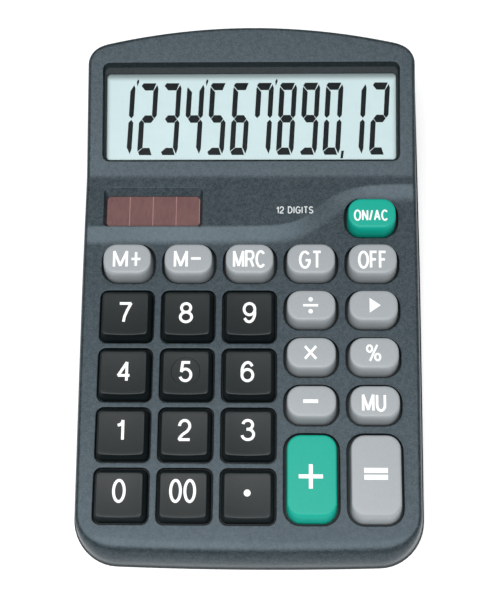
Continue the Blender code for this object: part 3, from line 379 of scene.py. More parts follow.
MAT_RUBBER = moulded(
    "keypad_rubber", (0.42, 0.43, 0.42), (0.56, 0.57, 0.55), 0.6, 0.5 * MM, 0.15, 0.05
)
FOOT_RUBBER = moulded("foot_rubber", (0.012,) * 3, (0.035,) * 3, 0.75, 0.5 * MM, 0.3, 0.12)
RED_SLEEVE = moulded("red_lead_sleeve", (0.3, 0.01, 0.01), (0.55, 0.03, 0.02), 0.38, 1.2 * MM, 0.15, 0.03)
BLACK_SLEEVE = moulded("black_lead_sleeve", (0.006,) * 3, (0.02,) * 3, 0.38, 1.2 * MM, 0.2, 0.03)
EPOXY = moulded("chip_epoxy", (0.004,) * 3, (0.014,) * 3, 0.22, 2.5 * MM, 0.2, 0.05)
INK = printed("white_printing", (0.93, 0.94, 0.93), 0.45)
PLATE_INK = printed("pale_printing", (0.62, 0.66, 0.67), 0.5)
SCREW_STEEL = metal("zinc_plated_steel", (0.42, 0.42, 0.43), 0.33)
SPRING_STEEL = metal("nickel_plated_steel", (0.62, 0.61, 0.58), 0.24, (1, 6, 6))


def lcd_ground(tree):
    """The pale reflector behind the digits, a little uneven, with a painted shadow under the frame's edge."""
    cloud = tree.noise(14 * MM, 2.0)
    dust = tree.noise(0.3 * MM, 2.0)
    share = 0.5 + 0.7 * (cloud - 0.5) + 0.5 * (dust - 0.5)
    pale = tree.mix(share, (0.54, 0.69, 0.705), (0.58, 0.735, 0.75))
    # Painted shadow: the colour darkens along the rear rim and, less, the two sides, where the frame's edge
    # shades the reflector.
    x, y, _ = tree.axes()
    _, high = span("display_window", HOOD)
    rear = (HOOD @ Vector((0, high[1] - 2.6 * MM, 0))).y
    rim = y.eased(rear - 2.6 * MM, rear) ** 1.5 * 0.8
    sides = x.math("ABSOLUTE", x, 0.0).eased(high[0] - 2.9 * MM, high[0] - 1.3 * MM) * 0.35
    edge = rim.math("MAXIMUM", rim, sides)
    return {
        "Base Color": tree.mix(edge, pale, (0.12, 0.16, 0.165)),
        "Roughness": 0.42 + 0.15 * (dust - 0.5),
    }


def lcd_ink(tree):
    """A dark segment, very slightly see-through in places."""
    cloud = tree.noise(4 * MM, 2.0)
    return {
        "Base Color": tree.mix(cloud, (0.004, 0.006, 0.008), (0.01, 0.014, 0.016)),
        "Roughness": 0.6 + 0.1 * (cloud - 0.5),
    }


def clear_sheet(tree):
    """The window: almost invisible, with a soft gloss and a trace of smears."""
    smear = tree.noise(9 * MM, 3.0, (1, 3, 1))
    return {
        "Base Color": tree.mix(smear, (0.01, 0.014, 0.015), (0.03, 0.036, 0.038)),
        "Roughness": 0.1 + 0.12 * smear,
        "Alpha": 0.025 + 0.02 * smear,
    }


def solar_film(tree):
    """Red-brown film with faint streaks along its fields."""
    streak = tree.noise(0.5 * MM, 3.0, (1, 0.12, 1))
    cloud = tree.noise(5 * MM, 2.0)
    share = (0.5 + 0.8 * (streak - 0.5) + 0.6 * (cloud - 0.5)).eased(0.1, 0.9)
    return {
        "Base Color": tree.mix(share, (0.115, 0.052, 0.05), (0.165, 0.076, 0.073)),
        "Roughness": 0.24 + 0.15 * streak,
    }


def solar_line(tree):
    """The paler ground that shows between the fields."""
    streak = tree.noise(0.6 * MM, 2.0)
    return {
        "Base Color": tree.mix(streak, (0.27, 0.14, 0.13), (0.34, 0.185, 0.175)),
        "Roughness": 0.35 + 0.1 * streak,
    }


def circuit_resist(tree):
    """Green resist over tracks that run in steps along and across the board."""
    sizes = {"Scale": 160.0, "Mortar Size": 0.018, "Row Height": 0.2, "Brick Width": 0.9}
    brick = {"Vector": tree.place(), **sizes}
    tracks = tree.node("ShaderNodeTexBrick", {"offset": 0.37}, brick, out=1)
    cloud = tree.noise(3 * MM, 2.0)
    colour = tree.mix(tracks, (0.012, 0.12, 0.045), (0.03, 0.24, 0.09))
    bump = tree.node("ShaderNodeBump", None, {"Height": tracks, "Strength": 0.3, "Distance": 0.05 * MM})
    return {"Base Color": colour, "Roughness": 0.32 + 0.2 * (cloud - 0.5), "Normal": bump}


def ribbon_film(tree):
    """Amber film with fine dark conductors along it."""
    pitch = 0.9 * MM
    phase = tree.axes()[0] * (2 * math.pi / pitch)
    wave = phase.math("SINE", phase, 0.0)
    cloud = tree.noise(4 * MM, 2.0)
    colour = tree.mix(wave.eased(-0.1, 0.25), (0.2, 0.07, 0.015), (0.5, 0.24, 0.05))
    return {"Base Color": colour, "Roughness": 0.3 + 0.15 * (cloud - 0.5)}


def battery_sleeve(tree):
    """A shrink sleeve in two plain colours, with bare ends."""
    x = tree.axes()[0]
    wear = tree.noise(2 * MM, 3.0)
    low, high = span("battery_cell", LEVEL)
    band = x.eased(high[0] - 16 * MM, high[0] - 15.7 * MM)
    colour = tree.mix(band, (0.03, 0.035, 0.045), (0.5, 0.27, 0.08))
    bare = (x > high[0] - 1.4 * MM) + (0 - x > -low[0] - 0.4 * MM)
    return {
        "Base Color": tree.mix(bare, colour, (0.55, 0.55, 0.55)),
        "Metallic": bare * 0.9 + 0.1,
        "Roughness": 0.28 + 0.15 * (wear - 0.5),
    }


def pale_floor(tree):
    """A matt table top, almost even."""
    drift = tree.noise(90 * MM, 2.0)
    return {
        "Base Color": tree.mix(drift, (0.93, 0.93, 0.93), (0.95, 0.95, 0.95)),
        "Roughness": 0.8 + 0.1 * (drift - 0.5),
    }


LCD_GROUND = material("lcd_reflector", lcd_ground)
LCD_INK = material("lcd_segment", lcd_ink, Specular_IOR_Level=0.08)
WINDOW = material("window_acrylic", clear_sheet)
SOLAR_FILM = material("solar_film", solar_film)
SOLAR_LINE = material("solar_line", solar_line)
RESIST = material("board_resist", circuit_resist)
RIBBON = material("ribbon_film", ribbon_film)
SLEEVE = material("battery_sleeve", battery_sleeve)
FLOOR = material("pale_floor", pale_floor, Emission_Color=(1, 1, 1, 1), Emission_Strength=0.34)


# --- Mesh helpers -----------------------------------------------------------
def piece(name, points, faces, finishes, body, replaces=(), which=None, sharp=35):
    """A finished mesh that rides on a body. `which` gives each face its finish."""
    mesh = bpy.data.meshes.new(name)
    mesh.from_pydata([tuple(map(float, p)) for p in points], [], [tuple(map(int, f)) for f in faces])
    mesh.validate()
    return dressed(name, mesh, finishes, body, replaces, which, sharp)


def dressed(name, mesh, finishes, body, replaces=(), which=None, sharp=35, weighted=True):
    """An object from a mesh, with its finishes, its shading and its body."""
    made = bpy.data.objects.new(name, mesh)
    bpy.context.scene.collection.objects.link(made)
    mesh.materials.clear()
    for finish in finishes:
        mesh.materials.append(finish)
    if which is not None:
        mesh.polygons.foreach_set("material_index", np.array(which, np.int32))
    mesh.polygons.foreach_set("use_smooth", np.ones(len(mesh.polygons), bool))
    mesh.set_sharp_from_angle(angle=math.radians(sharp))
    if weighted:
        modifier = made.modifiers.new("even shading", "WEIGHTED_NORMAL")
        modifier.keep_sharp = True
        modifier.weight = 80
    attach(made, body)
    if replaces:
        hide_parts(*replaces)
    return made


def whole_turn(steps):
    """Even angles round a circle."""
    return np.arange(steps) / steps * 2 * math.pi


def rounded_rectangle(low, high, corner, steps=6, edge=1):
    """An outline from a low to a high corner, anticlockwise, `edge` points to each straight side."""
    corner = min(corner, (high[0] - low[0]) / 2 * 0.999, (high[1] - low[1]) / 2 * 0.999)
    centres = [
        (high[0] - corner, high[1] - corner),
        (low[0] + corner, high[1] - corner),
        (low[0] + corner, low[1] + corner),
        (high[0] - corner, low[1] + corner),
    ]
    arcs = []
    for quarter, (cx, cy) in enumerate(centres):
        turns = (quarter + np.arange(steps + 1) / steps) * math.pi / 2
        arcs.append(np.stack([cx + corner * np.cos(turns), cy + corner * np.sin(turns)], 1))
    points = []
    for arc, following in zip(arcs, arcs[1:] + arcs[:1]):
        points.extend(arc)
        for i in range(1, edge):
            points.append(arc[-1] + (following[0] - arc[-1]) * i / edge)
    return np.array(points)


class Shell:
    """Points and faces gathered row by row."""

    def __init__(self):
        self.points, self.faces, self.which = [], [], []

    def row(self, points):
        """Adds points and returns their numbers."""
        start = len(self.points)
        self.points.extend(points)
        return list(range(start, len(self.points)))

    def bridge(self, first, second, finish=0):
        """Quads between two closed rows, facing out when both run anticlockwise, bottom first."""
        count = len(first)
        for i in range(count):
            j = (i + 1) % count
            self.faces.append((first[i], first[j], second[j], second[i]))
            self.which.append(finish)

    def cap(self, row, up=True, finish=0):
        """A fan that closes a row round its own middle."""
        middle = self.row([np.mean([self.points[i] for i in row], axis=0)])[0]
        for i in range(len(row)):
            j = (i + 1) % len(row)
            self.faces.append((row[i], row[j], middle) if up else (row[j], row[i], middle))
            self.which.append(finish)

    def fill(self, outer, holes, loose, height, up=True):
        """Fills between an outer row and the holes' rows, through loose places lifted by height()."""
        rows = [outer, *holes]
        numbers = [i for row in rows for i in row]
        flat = [Vector((self.points[i][0] / MM, self.points[i][1] / MM)) for i in numbers]
        edges = []
        start = 0
        for row in rows:
            edges += [(start + i, start + (i + 1) % len(row)) for i in range(len(row))]
            start += len(row)
        polygons = [np.array([self.points[i][:2] for i in row]) for row in rows]
        if len(loose):
            clear = inside(polygons[0], loose, 0.5 * MM)
            for polygon in polygons[1:]:
                clear &= ~inside(polygon, loose, -0.25 * MM)
            loose = loose[clear]
            lifted = np.column_stack([loose, height(loose[:, 0], loose[:, 1])])
            numbers += self.row(list(lifted))
            flat += [Vector(p / MM) for p in loose]
        places, _, triangles, sources, _, _ = delaunay_2d_cdt(flat, edges, [], 0, 1e-6)
        index = []
        for place, source in zip(places, sources):
            if source:
                index.append(numbers[source[0]])
            else:
                x, y = place.x * MM, place.y * MM
                index.append(self.row([(x, y, float(height(np.array([x]), np.array([y]))[0]))])[0])
        corners = np.array([[tuple(places[i]) for i in t] for t in triangles]) * MM
        middles = corners.mean(1)
        kept = inside(polygons[0], middles)
        for polygon in polygons[1:]:
            kept &= ~inside(polygon, middles)
        for triangle, corner, keep in zip(triangles, corners, kept):
            if not keep:
                continue
            (ax, ay), (bx, by), (cx, cy) = corner
            rising = (bx - ax) * (cy - ay) - (by - ay) * (cx - ax) > 0
            face = [index[i] for i in triangle]
            self.faces.append(face if rising == up else face[::-1])
            self.which.append(0)


def inside(polygon, places, margin=0.0):
    """Which places lie inside a closed outline; a margin keeps that far off its edge, inward."""
    x, y = places[:, 0][:, None], places[:, 1][:, None]
    ax, ay = polygon[:, 0], polygon[:, 1]
    bx, by = np.roll(ax, -1), np.roll(ay, -1)
    crosses = ((ay > y) != (by > y)) & (x < (bx - ax) * (y - ay) / (by - ay + 1e-30) + ax)
    found = crosses.sum(1) % 2 == 1
    if margin:
        dx, dy = bx - ax, by - ay
        along = np.clip(((x - ax) * dx + (y - ay) * dy) / (dx**2 + dy**2 + 1e-30), 0, 1)
        near = np.sqrt((x - ax - along * dx) ** 2 + (y - ay - along * dy) ** 2).min(1)
        found = found & (near > margin) if margin > 0 else found | (near < -margin)
    return found


# --- Case surface -----------------------------------------------------------
# x and y here are plan coordinates: y from the front edge.
def band_foot(x):
    """Front edge of the band: straight on the left, then an S behind the top key."""
    return DECK_END + (LOBE_END - DECK_END) * (1 + np.tanh((x - LOBE_MIDDLE) / LOBE_EASE)) / 2


def band_run(x):
    """Depth of the band along y: its width is even, measured across the curve."""
    slope = (LOBE_END - DECK_END) / 2 / LOBE_EASE / np.cosh((x - LOBE_MIDDLE) / LOBE_EASE) ** 2
    return BAND_RUN * np.sqrt(1 + slope**2)


def soft_step(t, softness):
    """0 before the start and t after it, eased over `softness` each way."""
    eased = (t + softness) ** 2 / (4 * softness)
    return np.where(t < -softness, 0, np.where(t > softness, t, eased))


def parting(y):
    """Height of the line where the two halves of the case meet."""
    return PARTING_FRONT_Z + y * TAN_DECK


def surface(x, y):
    """Height of the finished outside at a place in plan."""
    deck = DECK_FRONT_Z + y * TAN_DECK
    plateau = PLATEAU_Z + (y - PLATEAU_START) * math.tan(PLATEAU_ANGLE)
    hood = HOOD_Z + (y - PLATEAU_END) * math.tan(HOOD_ANGLE)
    t = (y - band_foot(x)) / band_run(x)
    lift = soft_step(t, FOOT_SOFTNESS) - soft_step(t - 1, BROW_SOFTNESS)
    raised = deck + (plateau - deck) * lift
    gap = np.clip(FOLD_SOFTNESS - np.abs(raised - hood), 0, None) / FOLD_SOFTNESS
    return np.maximum(raised, hood) + gap**2 * FOLD_SOFTNESS / 4


# Every place on the outline of the right half, from the middle of the front to the rear's.
# Each has its end (0 front, 1 side, 2 rear), its share along a straight and its corner turn.
# The side has closer places where the band ends, from 104 to 141 mm behind the front edge.
NEAR_BAND = (np.arange(104, 141, 0.9) - 14.3) / (LENGTH / MM - 27.7)
SIDE_Y = np.unique(np.concatenate([np.linspace(0, 1, 25), NEAR_BAND]))
STRAIGHT = np.linspace(0, 1, 19)[:-1]
TURN = np.linspace(0, math.pi / 2, 13)
HALF_ROUND = (
    [(0, s, 0.0) for s in STRAIGHT]
    + [(0, 1.0, t) for t in TURN]
    + [(1, s, 0.0) for s in SIDE_Y[1:-1]]
    + [(2, 1.0, t) for t in TURN[::-1]]
    + [(2, s, 0.0) for s in STRAIGHT[::-1]]
)
ROUND = np.array(HALF_ROUND + HALF_ROUND[-2:0:-1])
MIRRORED = np.arange(len(ROUND)) >= len(HALF_ROUND)
IS_FRONT, IS_REAR = ROUND[:, 0] == 0, ROUND[:, 0] == 2
FRONT_WEIGHT = np.where(IS_FRONT, np.cos(ROUND[:, 2]) ** 2, 0)
REAR_WEIGHT = np.where(IS_REAR, np.cos(ROUND[:, 2]) ** 2, 0)


def outline(inset):
    """The case in plan, drawn in by an inset, one number or one to each place. N x 2."""
    inset = np.broadcast_to(inset, len(ROUND))
    half = HALF_WIDTH - inset
    corner = np.where(IS_REAR, REAR_CORNER, FRONT_CORNER) - inset
    straight = HALF_WIDTH - np.where(IS_REAR, REAR_CORNER, FRONT_CORNER)
    x = straight * ROUND[:, 1] + corner * np.sin(ROUND[:, 2])
    rise = corner * (1 - np.cos(ROUND[:, 2]))
    bulge = np.where(IS_REAR, REAR_BULGE, FRONT_BULGE) * (x / half) ** 2
    y_end = np.where(IS_REAR, LENGTH - inset - rise - bulge, inset + rise + bulge)
    side_low = FRONT_CORNER + FRONT_BULGE
    side_high = LENGTH - REAR_CORNER - REAR_BULGE
    is_end = IS_FRONT | IS_REAR
    x = np.where(is_end, x, half)
    y = np.where(is_end, y_end, side_low + (side_high - side_low) * ROUND[:, 1])
    share = np.clip((TAPER_START - y) / (TAPER_START - TAPER_END), 0, None)
    x = x * (1 - FRONT_TAPER * share**1.3 / HALF_WIDTH)
    return np.column_stack([np.where(MIRRORED, -x, x), y])


def draft(height):
    """How far the upper wall leans in, at a height over the parting line."""
    bend, lean = 9, 1.1  # millimetres: up to the bend the wall leans in by this much, then less
    above = lean * MM + (height - bend * MM) * 0.3 / 18
    rise = np.where(height < bend * MM, height * lean / bend, above)
    return LEDGE + rise + REAR_WEIGHT * REAR_LEAN * height / (20 * MM)


def ring(inset, height):
    """The outline at an inset, lifted: height is an array or a function of x and y. World points."""
    plan = outline(inset)
    z = height(plan[:, 0], plan[:, 1]) if callable(height) else height
    return list(np.column_stack([plan[:, 0], plan[:, 1] - LENGTH / 2, np.broadcast_to(z, len(plan))]))


def plan_surface(drop=0.0):
    """surface() for world places, for filling."""
    return lambda x, y: surface(x, y + LENGTH / 2) - drop


def opening(place, rows):
    """Rows of world points round a hole in the outer surface.

    Each row is low and high corner, corner radius and depth.
    """
    result = []
    for low, high, corner, depth in rows:
        flat = rounded_rectangle(low, high, corner, 6)
        points = placed(place, np.column_stack([flat, np.full(len(flat), -depth)]))
        face = placed(place, np.column_stack([flat, np.zeros(len(flat))]))
        points[:, 2] += surface(face[:, 0], face[:, 1] + LENGTH / 2) - face[:, 2]
        result.append(list(points))
    return result


def stepped(place, steps):
    """An opening with steps given as left, right, low, high, corner radius and depth, in mm."""
    return opening(
        place,
        [((a * MM, lo * MM), (b * MM, hi * MM), c * MM, d * MM) for a, b, lo, hi, c, d in steps],
    )


# --- Keys: where they are, from the frame -----------------------------------
KEY_NODES = sorted(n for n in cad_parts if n.startswith("key_") and n != "key_mat")
BLACK_KEYS = {"key_point", "key_00", *(f"key_{i}" for i in range(10))}
GREEN_KEYS = {"key_plus", "key_on_clear"}
FLANGE = 1.1 * MM  # the hidden lip reaches this far past the key's own side
KEY_GAP = 0.4 * MM


def key_place(node):
    """Middle of the key's well on the deck, and half the well's width and depth."""
    low, high = span(node, DECK)
    middle = (low + high) / 2
    wide, deep = ((high[i] - low[i]) / 2 - FLANGE + KEY_GAP for i in (0, 1))
    return middle[0], middle[1], wide, deep


# A key well's lip, from the face down: shares of its width and, for the depth, of its size.
LIP_STEPS = ((1, 0), (0.62, 0.05), (0.29, 0.2), (0.08, 0.48), (0, 1), (0, 4.4))
BLACK_WELL_CORNER, GREY_WELL_CORNER = 2.5 * MM, 5.5 * MM
# The display frame: half width, low, high, corner radius and depth, in millimetres.
WINDOW_STEPS = (
    (53.0, 5.45, 41.4, 2.7, 0),
    (52.86, 5.58, 41.26, 2.56, 0.06),
    (52.78, 5.66, 41.16, 2.46, 0.25),
    (52.4, 5.9, 39.9, 2.1, 1.55),
    (52.2, 6.05, 39.5, 1.95, 1.68),
    (51.85, 6.3, 37.9, 1.5, 1.72),
    (51.68, 6.45, 37.6, 1.3, 1.85),
    (51.6, 6.5, 37.5, 1.2, 2.25),
)
# The solar recess: left, right, low, high, corner radius and depth, in millimetres.
SOLAR_STEPS = (
    (-51.9, -16.7, 0.05, 14.5, 1.5, 0),
    (-51.76, -16.84, 0.16, 14.36, 1.38, 0.07),
    (-51.66, -16.94, 0.26, 14.22, 1.28, 0.3),
    (-50.95, -17.75, 0.6, 12.05, 1.7, 1.85),
    (-50.8, -17.9, 0.7, 11.9, 1.55, 2.1),
)
CEILING_DROP = WALL * 1.05  # the inner skin under the outer one
# Where the fill has rows: shares of the band's run from its foot, and of the fold's own width.
BAND_ROWS = (-0.3, -0.2, -0.1, 0, 0.1, 0.2, 0.3, 0.5, 0.7, 0.9, 0.95, 1, 1.05, 1.1)
FOLD_ROWS = (-1, -0.5, 0, 0.5, 1)


def upper_case():
    """The top half: outer skin, lipped openings, inner skin and the rim between them."""
    shell = Shell()
    holes = []
    for node in KEY_NODES:
        x, v, wide, deep = key_place(node)
        corner = BLACK_WELL_CORNER if node in BLACK_KEYS else GREY_WELL_CORNER
        rows = []
        for grow, depth in LIP_STEPS:
            g = grow * WELL_LIP
            low, high = (x - wide - g, v - deep - g), (x + wide + g, v + deep + g)
            rows.append((low, high, corner + g, depth * WELL_LIP))
        holes.append(opening(DECK, rows))
    holes.append(stepped(HOOD, [(-half, half, *rest) for half, *rest in WINDOW_STEPS]))
    holes.append(stepped(PLATEAU, SOLAR_STEPS))

    # The outside, from the parting line up the wall and over the edge.
    top = outline(1.5 * MM)
    run = FRONT_WEIGHT * FRONT_PROFILE[-1][0] * MM + (1 - FRONT_WEIGHT) * SIDE_RUN
    drop = FRONT_WEIGHT * FRONT_PROFILE[0][1] * MM + (1 - FRONT_WEIGHT) * SIDE_DROP
    wall_height = surface(top[:, 0], top[:, 1]) - drop - parting(top[:, 1])
    lean = draft(wall_height)
    rows = []
    for share in np.linspace(0, 1, 5):
        inset = draft(wall_height * share)
        rows.append(shell.row(ring(inset, lambda x, y, s=share: parting(y) + wall_height * s)))
    for step in range(1, len(FRONT_PROFILE)):
        turn = step / (len(FRONT_PROFILE) - 1) * math.pi / 2
        side_run, side_drop = SIDE_RUN * (1 - math.cos(turn)), SIDE_DROP * (1 - math.sin(turn))
        front_run, front_drop = (FRONT_PROFILE[step][i] * MM for i in (0, 1))
        inset = lean + FRONT_WEIGHT * front_run + (1 - FRONT_WEIGHT) * side_run
        fall = FRONT_WEIGHT * front_drop + (1 - FRONT_WEIGHT) * side_drop
        rows.append(shell.row(ring(inset, lambda x, y, f=fall: surface(x, y) - f)))
    for lower, upper in zip(rows, rows[1:]):
        shell.bridge(lower, upper)
    skins = [[shell.row(points) for points in hole] for hole in holes]
    for hole in skins:
        # Under its lip an opening has the darker finish, painted shade inside the opening, all but the solar
        # recess, the last one.
        for step, (upper, lower) in enumerate(zip(hole, hole[1:])):
            shell.bridge(upper, lower, 1 if step > 1 and hole is not skins[-1] else 0)

    # Places that the fill goes through: rows along the band and along the fold of the hood.
    xs = np.arange(-58.5, 58.6, 1.3) * MM
    loose = [np.column_stack([xs, band_foot(xs) + t * band_run(xs)]) for t in BAND_ROWS]
    fold = FOLD_SOFTNESS / (math.tan(HOOD_ANGLE) - math.tan(PLATEAU_ANGLE))
    loose += [np.column_stack([xs, np.full(len(xs), PLATEAU_END + t * fold)]) for t in FOLD_ROWS]
    loose = np.concatenate(loose) - (0, LENGTH / 2)
    shell.fill(rows[-1], [hole[0] for hole in skins], loose, plan_surface())

    # The inside.
    inner_foot = shell.row(ring(WALL + 0.3 * MM, lambda x, y: parting(y)))
    inner_top = shell.row(
        ring(lean + WALL + run * 0.5, lambda x, y: surface(x, y) - CEILING_DROP - drop * 0.25)
    )
    shell.bridge(inner_foot, rows[0])
    shell.bridge(inner_top, inner_foot)
    shell.fill(inner_top, [hole[-1] for hole in skins], loose, plan_surface(CEILING_DROP), up=False)
    finishes, replaced = [UPPER, SHADED_RECESS], ["top_case"]
    piece("upper_case", shell.points, shell.faces, finishes, "case", replaced, shell.which)


# --- Keys -------------------------------------------------------------------
# Rows of a key from under the deck to the rim: height, then the side's distance from the well
# at the sides, the front and the rear, and the corner radius. All in millimetres.
BLACK_ROWS = (
    (-2.2, 0.45, 0.45, 0.45, 2.1),
    (0.1, 0.48, 0.48, 0.5, 2.1),
    (3.95, 1.3, 1.72, 1.6, 1.5),
    (4.4, 1.42, 1.9, 1.75, 1.3),
    (4.62, 1.55, 2.03, 1.9, 1.15),
    (4.73, 1.75, 2.2, 2.08, 1.0),
    (4.78, 2.05, 2.5, 2.35, 0.8),
)
GREY_ROWS = (
    (-2.2, 0.8, 0.5, 0.9, 4.9),
    (0.0, 0.82, 0.52, 0.9, 4.9),
    (1.6, 0.9, 0.75, 0.95, 4.8),
    (3.1, 0.95, 1.25, 1.02, 4.7),
    (3.9, 1.0, 1.65, 1.08, 4.6),
    (4.35, 1.08, 2.0, 1.15, 4.5),
    (4.6, 1.2, 2.3, 1.3, 4.35),
    (4.74, 1.42, 2.58, 1.5, 4.15),
    (4.79, 1.75, 2.95, 1.85, 3.9),
)
KEY_RISE = 4.8  # from the deck to a key's rim, in millimetres
TALL_KEY = 12 * MM  # keys with more than this on each side of their middle are tall
TALL_FRONT = 0.65 * MM  # the tall keys' front slopes this much further
BLACK_DISH = (0.42 * MM, 0.22 * MM)  # hollow across and along the top
GREY_DISH = (-0.1 * MM, -0.08 * MM)  # the grey ones are faintly crowned
BOW = 0.35 * MM  # the front edge of a black key


def key_rows(node):
    """Half width, front, rear, corner and height of each row, in the key's own place."""
    _, _, wide, deep = key_place(node)
    black = node in BLACK_KEYS
    rows = []
    for height, side, front, rear, corner in BLACK_ROWS if black else GREY_ROWS:
        extra = TALL_FRONT * np.clip(height / KEY_RISE, 0, 1) ** 1.5 if deep > TALL_KEY else 0
        low = (-wide + side * MM, -deep + front * MM + extra)
        high = (wide - side * MM, deep - rear * MM)
        rows.append((low, high, corner * MM, height * MM))
    return rows


def dish(node, x, v):
    """How far the top lies under a flat one, at a place on the key."""
    across, along = BLACK_DISH if node in BLACK_KEYS else GREY_DISH
    low, high = key_rows(node)[-1][:2]
    middle, reach = (low[1] + high[1]) / 2, (high[1] - low[1]) / 2
    return across * (1 - (x / high[0]) ** 2) + along * (1 - ((v - middle) / reach) ** 2)


def key_top(node, x, v):
    """Height of the key's top over the deck."""
    return key_rows(node)[-1][3] - dish(node, x, v)


def bowed(flat, low, high, share):
    """Carries the front edge of a row forward, most in its middle."""
    is_front = flat[:, 1] < low[1] + (high[1] - low[1]) * 0.3
    flat[:, 1] -= BOW * share * is_front * np.clip(1 - (flat[:, 0] / high[0]) ** 2, 0, 1)


def make_key(node):
    """A key: the hidden lip, the flanks and the top, in rows from below."""
    x0, v0, wide, deep = key_place(node)
    place = DECK @ Matrix.Translation((x0, v0, 0))
    black = node in BLACK_KEYS
    edge = 8
    shell = Shell()
    body_rows = key_rows(node)
    # The hidden lip under the deck keeps the key in its well and closes the gap from below.
    lip = FLANGE - KEY_GAP
    base = body_rows[0]
    lip_box = ((-wide - lip, -deep - lip), (wide + lip, deep + lip), base[2] + 1 * MM)
    hidden = [(*lip_box, -3.1 * MM), (*lip_box, -2.35 * MM), (*base[:3], -2.35 * MM)]
    rows = []
    for low, high, corner, height in hidden + body_rows[1:]:
        flat = rounded_rectangle(low, high, corner, 6, edge)
        share = np.clip((height - 2.5 * MM) / (2.2 * MM), 0, 1)
        if black:
            bowed(flat, low, high, share)
        z = np.full(len(flat), height) - share * dish(node, flat[:, 0], flat[:, 1])
        rows.append(shell.row(placed(place, np.column_stack([flat, z]))))
    rim_low, rim_high, rim_corner, _ = body_rows[-1]
    middle = (np.array(rim_low) + np.array(rim_high)) / 2
    rim = rounded_rectangle(rim_low, rim_high, rim_corner, 6, edge)
    if black:
        bowed(rim, rim_low, rim_high, 1)
    for share in (0.88, 0.72, 0.52, 0.3, 0.12):
        flat = middle + (rim - middle) * share
        top = key_top(node, flat[:, 0], flat[:, 1])
        rows.append(shell.row(placed(place, np.column_stack([flat, top]))))
    # The hidden lip takes the black finish: painted shade seen through the gap round the key.
    shell.cap(rows[0], up=False, finish=1)
    for number, (lower, upper) in enumerate(zip(rows, rows[1:])):
        shell.bridge(lower, upper, 1 if number < 2 else 0)
    shell.cap(rows[-1])
    paint, slot = (BLACK, "black_keys") if black else (GREY, "grey_keys")
    if node in GREEN_KEYS:
        paint, slot = GREEN, "green_key"
    name = node.replace("key_", "cap_")
    piece(name, shell.points, shell.faces, [paint, BLACK], node, [node], shell.which, sharp=50)


# --- Legends ----------------------------------------------------------------
def arc(x, y, wide, tall, start, end):
    """Places along an ellipse from one angle to another, in degrees."""
    turns = np.radians(np.linspace(start, end, 3 + int(abs(end - start) / 9)))
    return [(x + wide * math.cos(t), y + tall * math.sin(t)) for t in turns]


BOWL = arc(0.5, 0.31, 0.5, 0.31, -180, 180)
SIX = [BOWL, arc(0.53, 0.52, 0.53, 0.48, 195, 62) + [(0.95, 0.8)]]
# The middle lines of each character in a box one wide and one tall, then its width by height.
GLYPHS = {
    "0": ([arc(0.5, 0.5, 0.5, 0.5, 0, 360)], 0.56),
    "1": ([[(1, 0), (1, 1), (0.8, 0.86), (0.45, 0.78), (0, 0.755)]], 0.26),
    "2": (
        [arc(0.5, 0.71, 0.48, 0.29, 180, -25) + [(0.75, 0.44), (0.3, 0.26), (0.06, 0.1), (0, 0), (1, 0)]],
        0.56,
    ),
    "3": (
        [
            arc(0.47, 0.77, 0.43, 0.23, 170, -90) + [(0.36, 0.54)],
            arc(0.48, 0.27, 0.52, 0.27, 90, -170),
        ],
        0.57,
    ),
    "4": ([[(0.74, 0), (0.74, 1), (0, 0.29), (1, 0.29)]], 0.58),
    "5": ([[(0.9, 1), (0.22, 1), (0.1, 0.5)] + arc(0.48, 0.32, 0.52, 0.32, 125, -160)], 0.56),
    "6": (SIX, 0.56),
    "7": ([[(0, 1), (1, 1), (0.66, 0.6), (0.45, 0.28), (0.37, 0)]], 0.55),
    "8": ([arc(0.5, 0.765, 0.41, 0.235, 0, 360), arc(0.5, 0.265, 0.5, 0.265, 0, 360)], 0.56),
    "9": ([[(1 - x, 1 - y) for x, y in stroke] for stroke in SIX], 0.56),
    "M": ([[(0, 0), (0, 1), (0.5, 0.06), (1, 1), (1, 0)]], 0.78),
    "R": (
        [[(0, 0), (0, 1)] + arc(0.62, 0.745, 0.36, 0.255, 90, -90) + [(0, 0.49)], [(0.6, 0.49), (1, 0)]],
        0.62,
    ),
    "C": ([arc(0.53, 0.5, 0.53, 0.5, 42, 318)], 0.68),
    "G": ([arc(0.52, 0.5, 0.52, 0.5, 42, 345) + [(1, 0.46), (0.58, 0.46)]], 0.7),
    "T": ([[(0, 1), (1, 1)], [(0.5, 1), (0.5, 0)]], 0.58),
    "O": ([arc(0.5, 0.5, 0.5, 0.5, 0, 360)], 0.74),
    "F": ([[(0, 0), (0, 1), (1, 1)], [(0, 0.52), (0.86, 0.52)]], 0.5),
    "N": ([[(0, 0), (0, 1), (1, 0), (1, 1)]], 0.6),
    "/": ([[(0, 0), (1, 1)]], 0.3),
    "A": ([[(0, 0), (0.5, 1), (1, 0)], [(0.18, 0.33), (0.82, 0.33)]], 0.66),
    "U": ([[(0, 1), (0, 0.33)] + arc(0.5, 0.33, 0.5, 0.33, 180, 360) + [(1, 1)]], 0.6),
    "D": ([[(0, 0), (0, 1)] + arc(0.35, 0.5, 0.65, 0.5, 90, -90) + [(0, 0)]], 0.62),
    "I": ([[(0.5, 0), (0.5, 1)]], 0.04),
    "S": ([arc(0.5, 0.75, 0.46, 0.25, 20, 250) + arc(0.5, 0.25, 0.5, 0.25, 70, -160)], 0.56),
    "+": ([[(0, 0.5), (1, 0.5)], [(0.5, 0.05), (0.5, 0.95)]], 0.56),
    "-": ([[(0, 0.53), (1, 0.53)]], 0.66),
    "%": (
        [
            arc(0.2, 0.76, 0.19, 0.2, 0, 360),
            arc(0.8, 0.24, 0.19, 0.2, 0, 360),
            [(0.22, 0), (0.78, 1)],
        ],
        0.72,
    ),
}


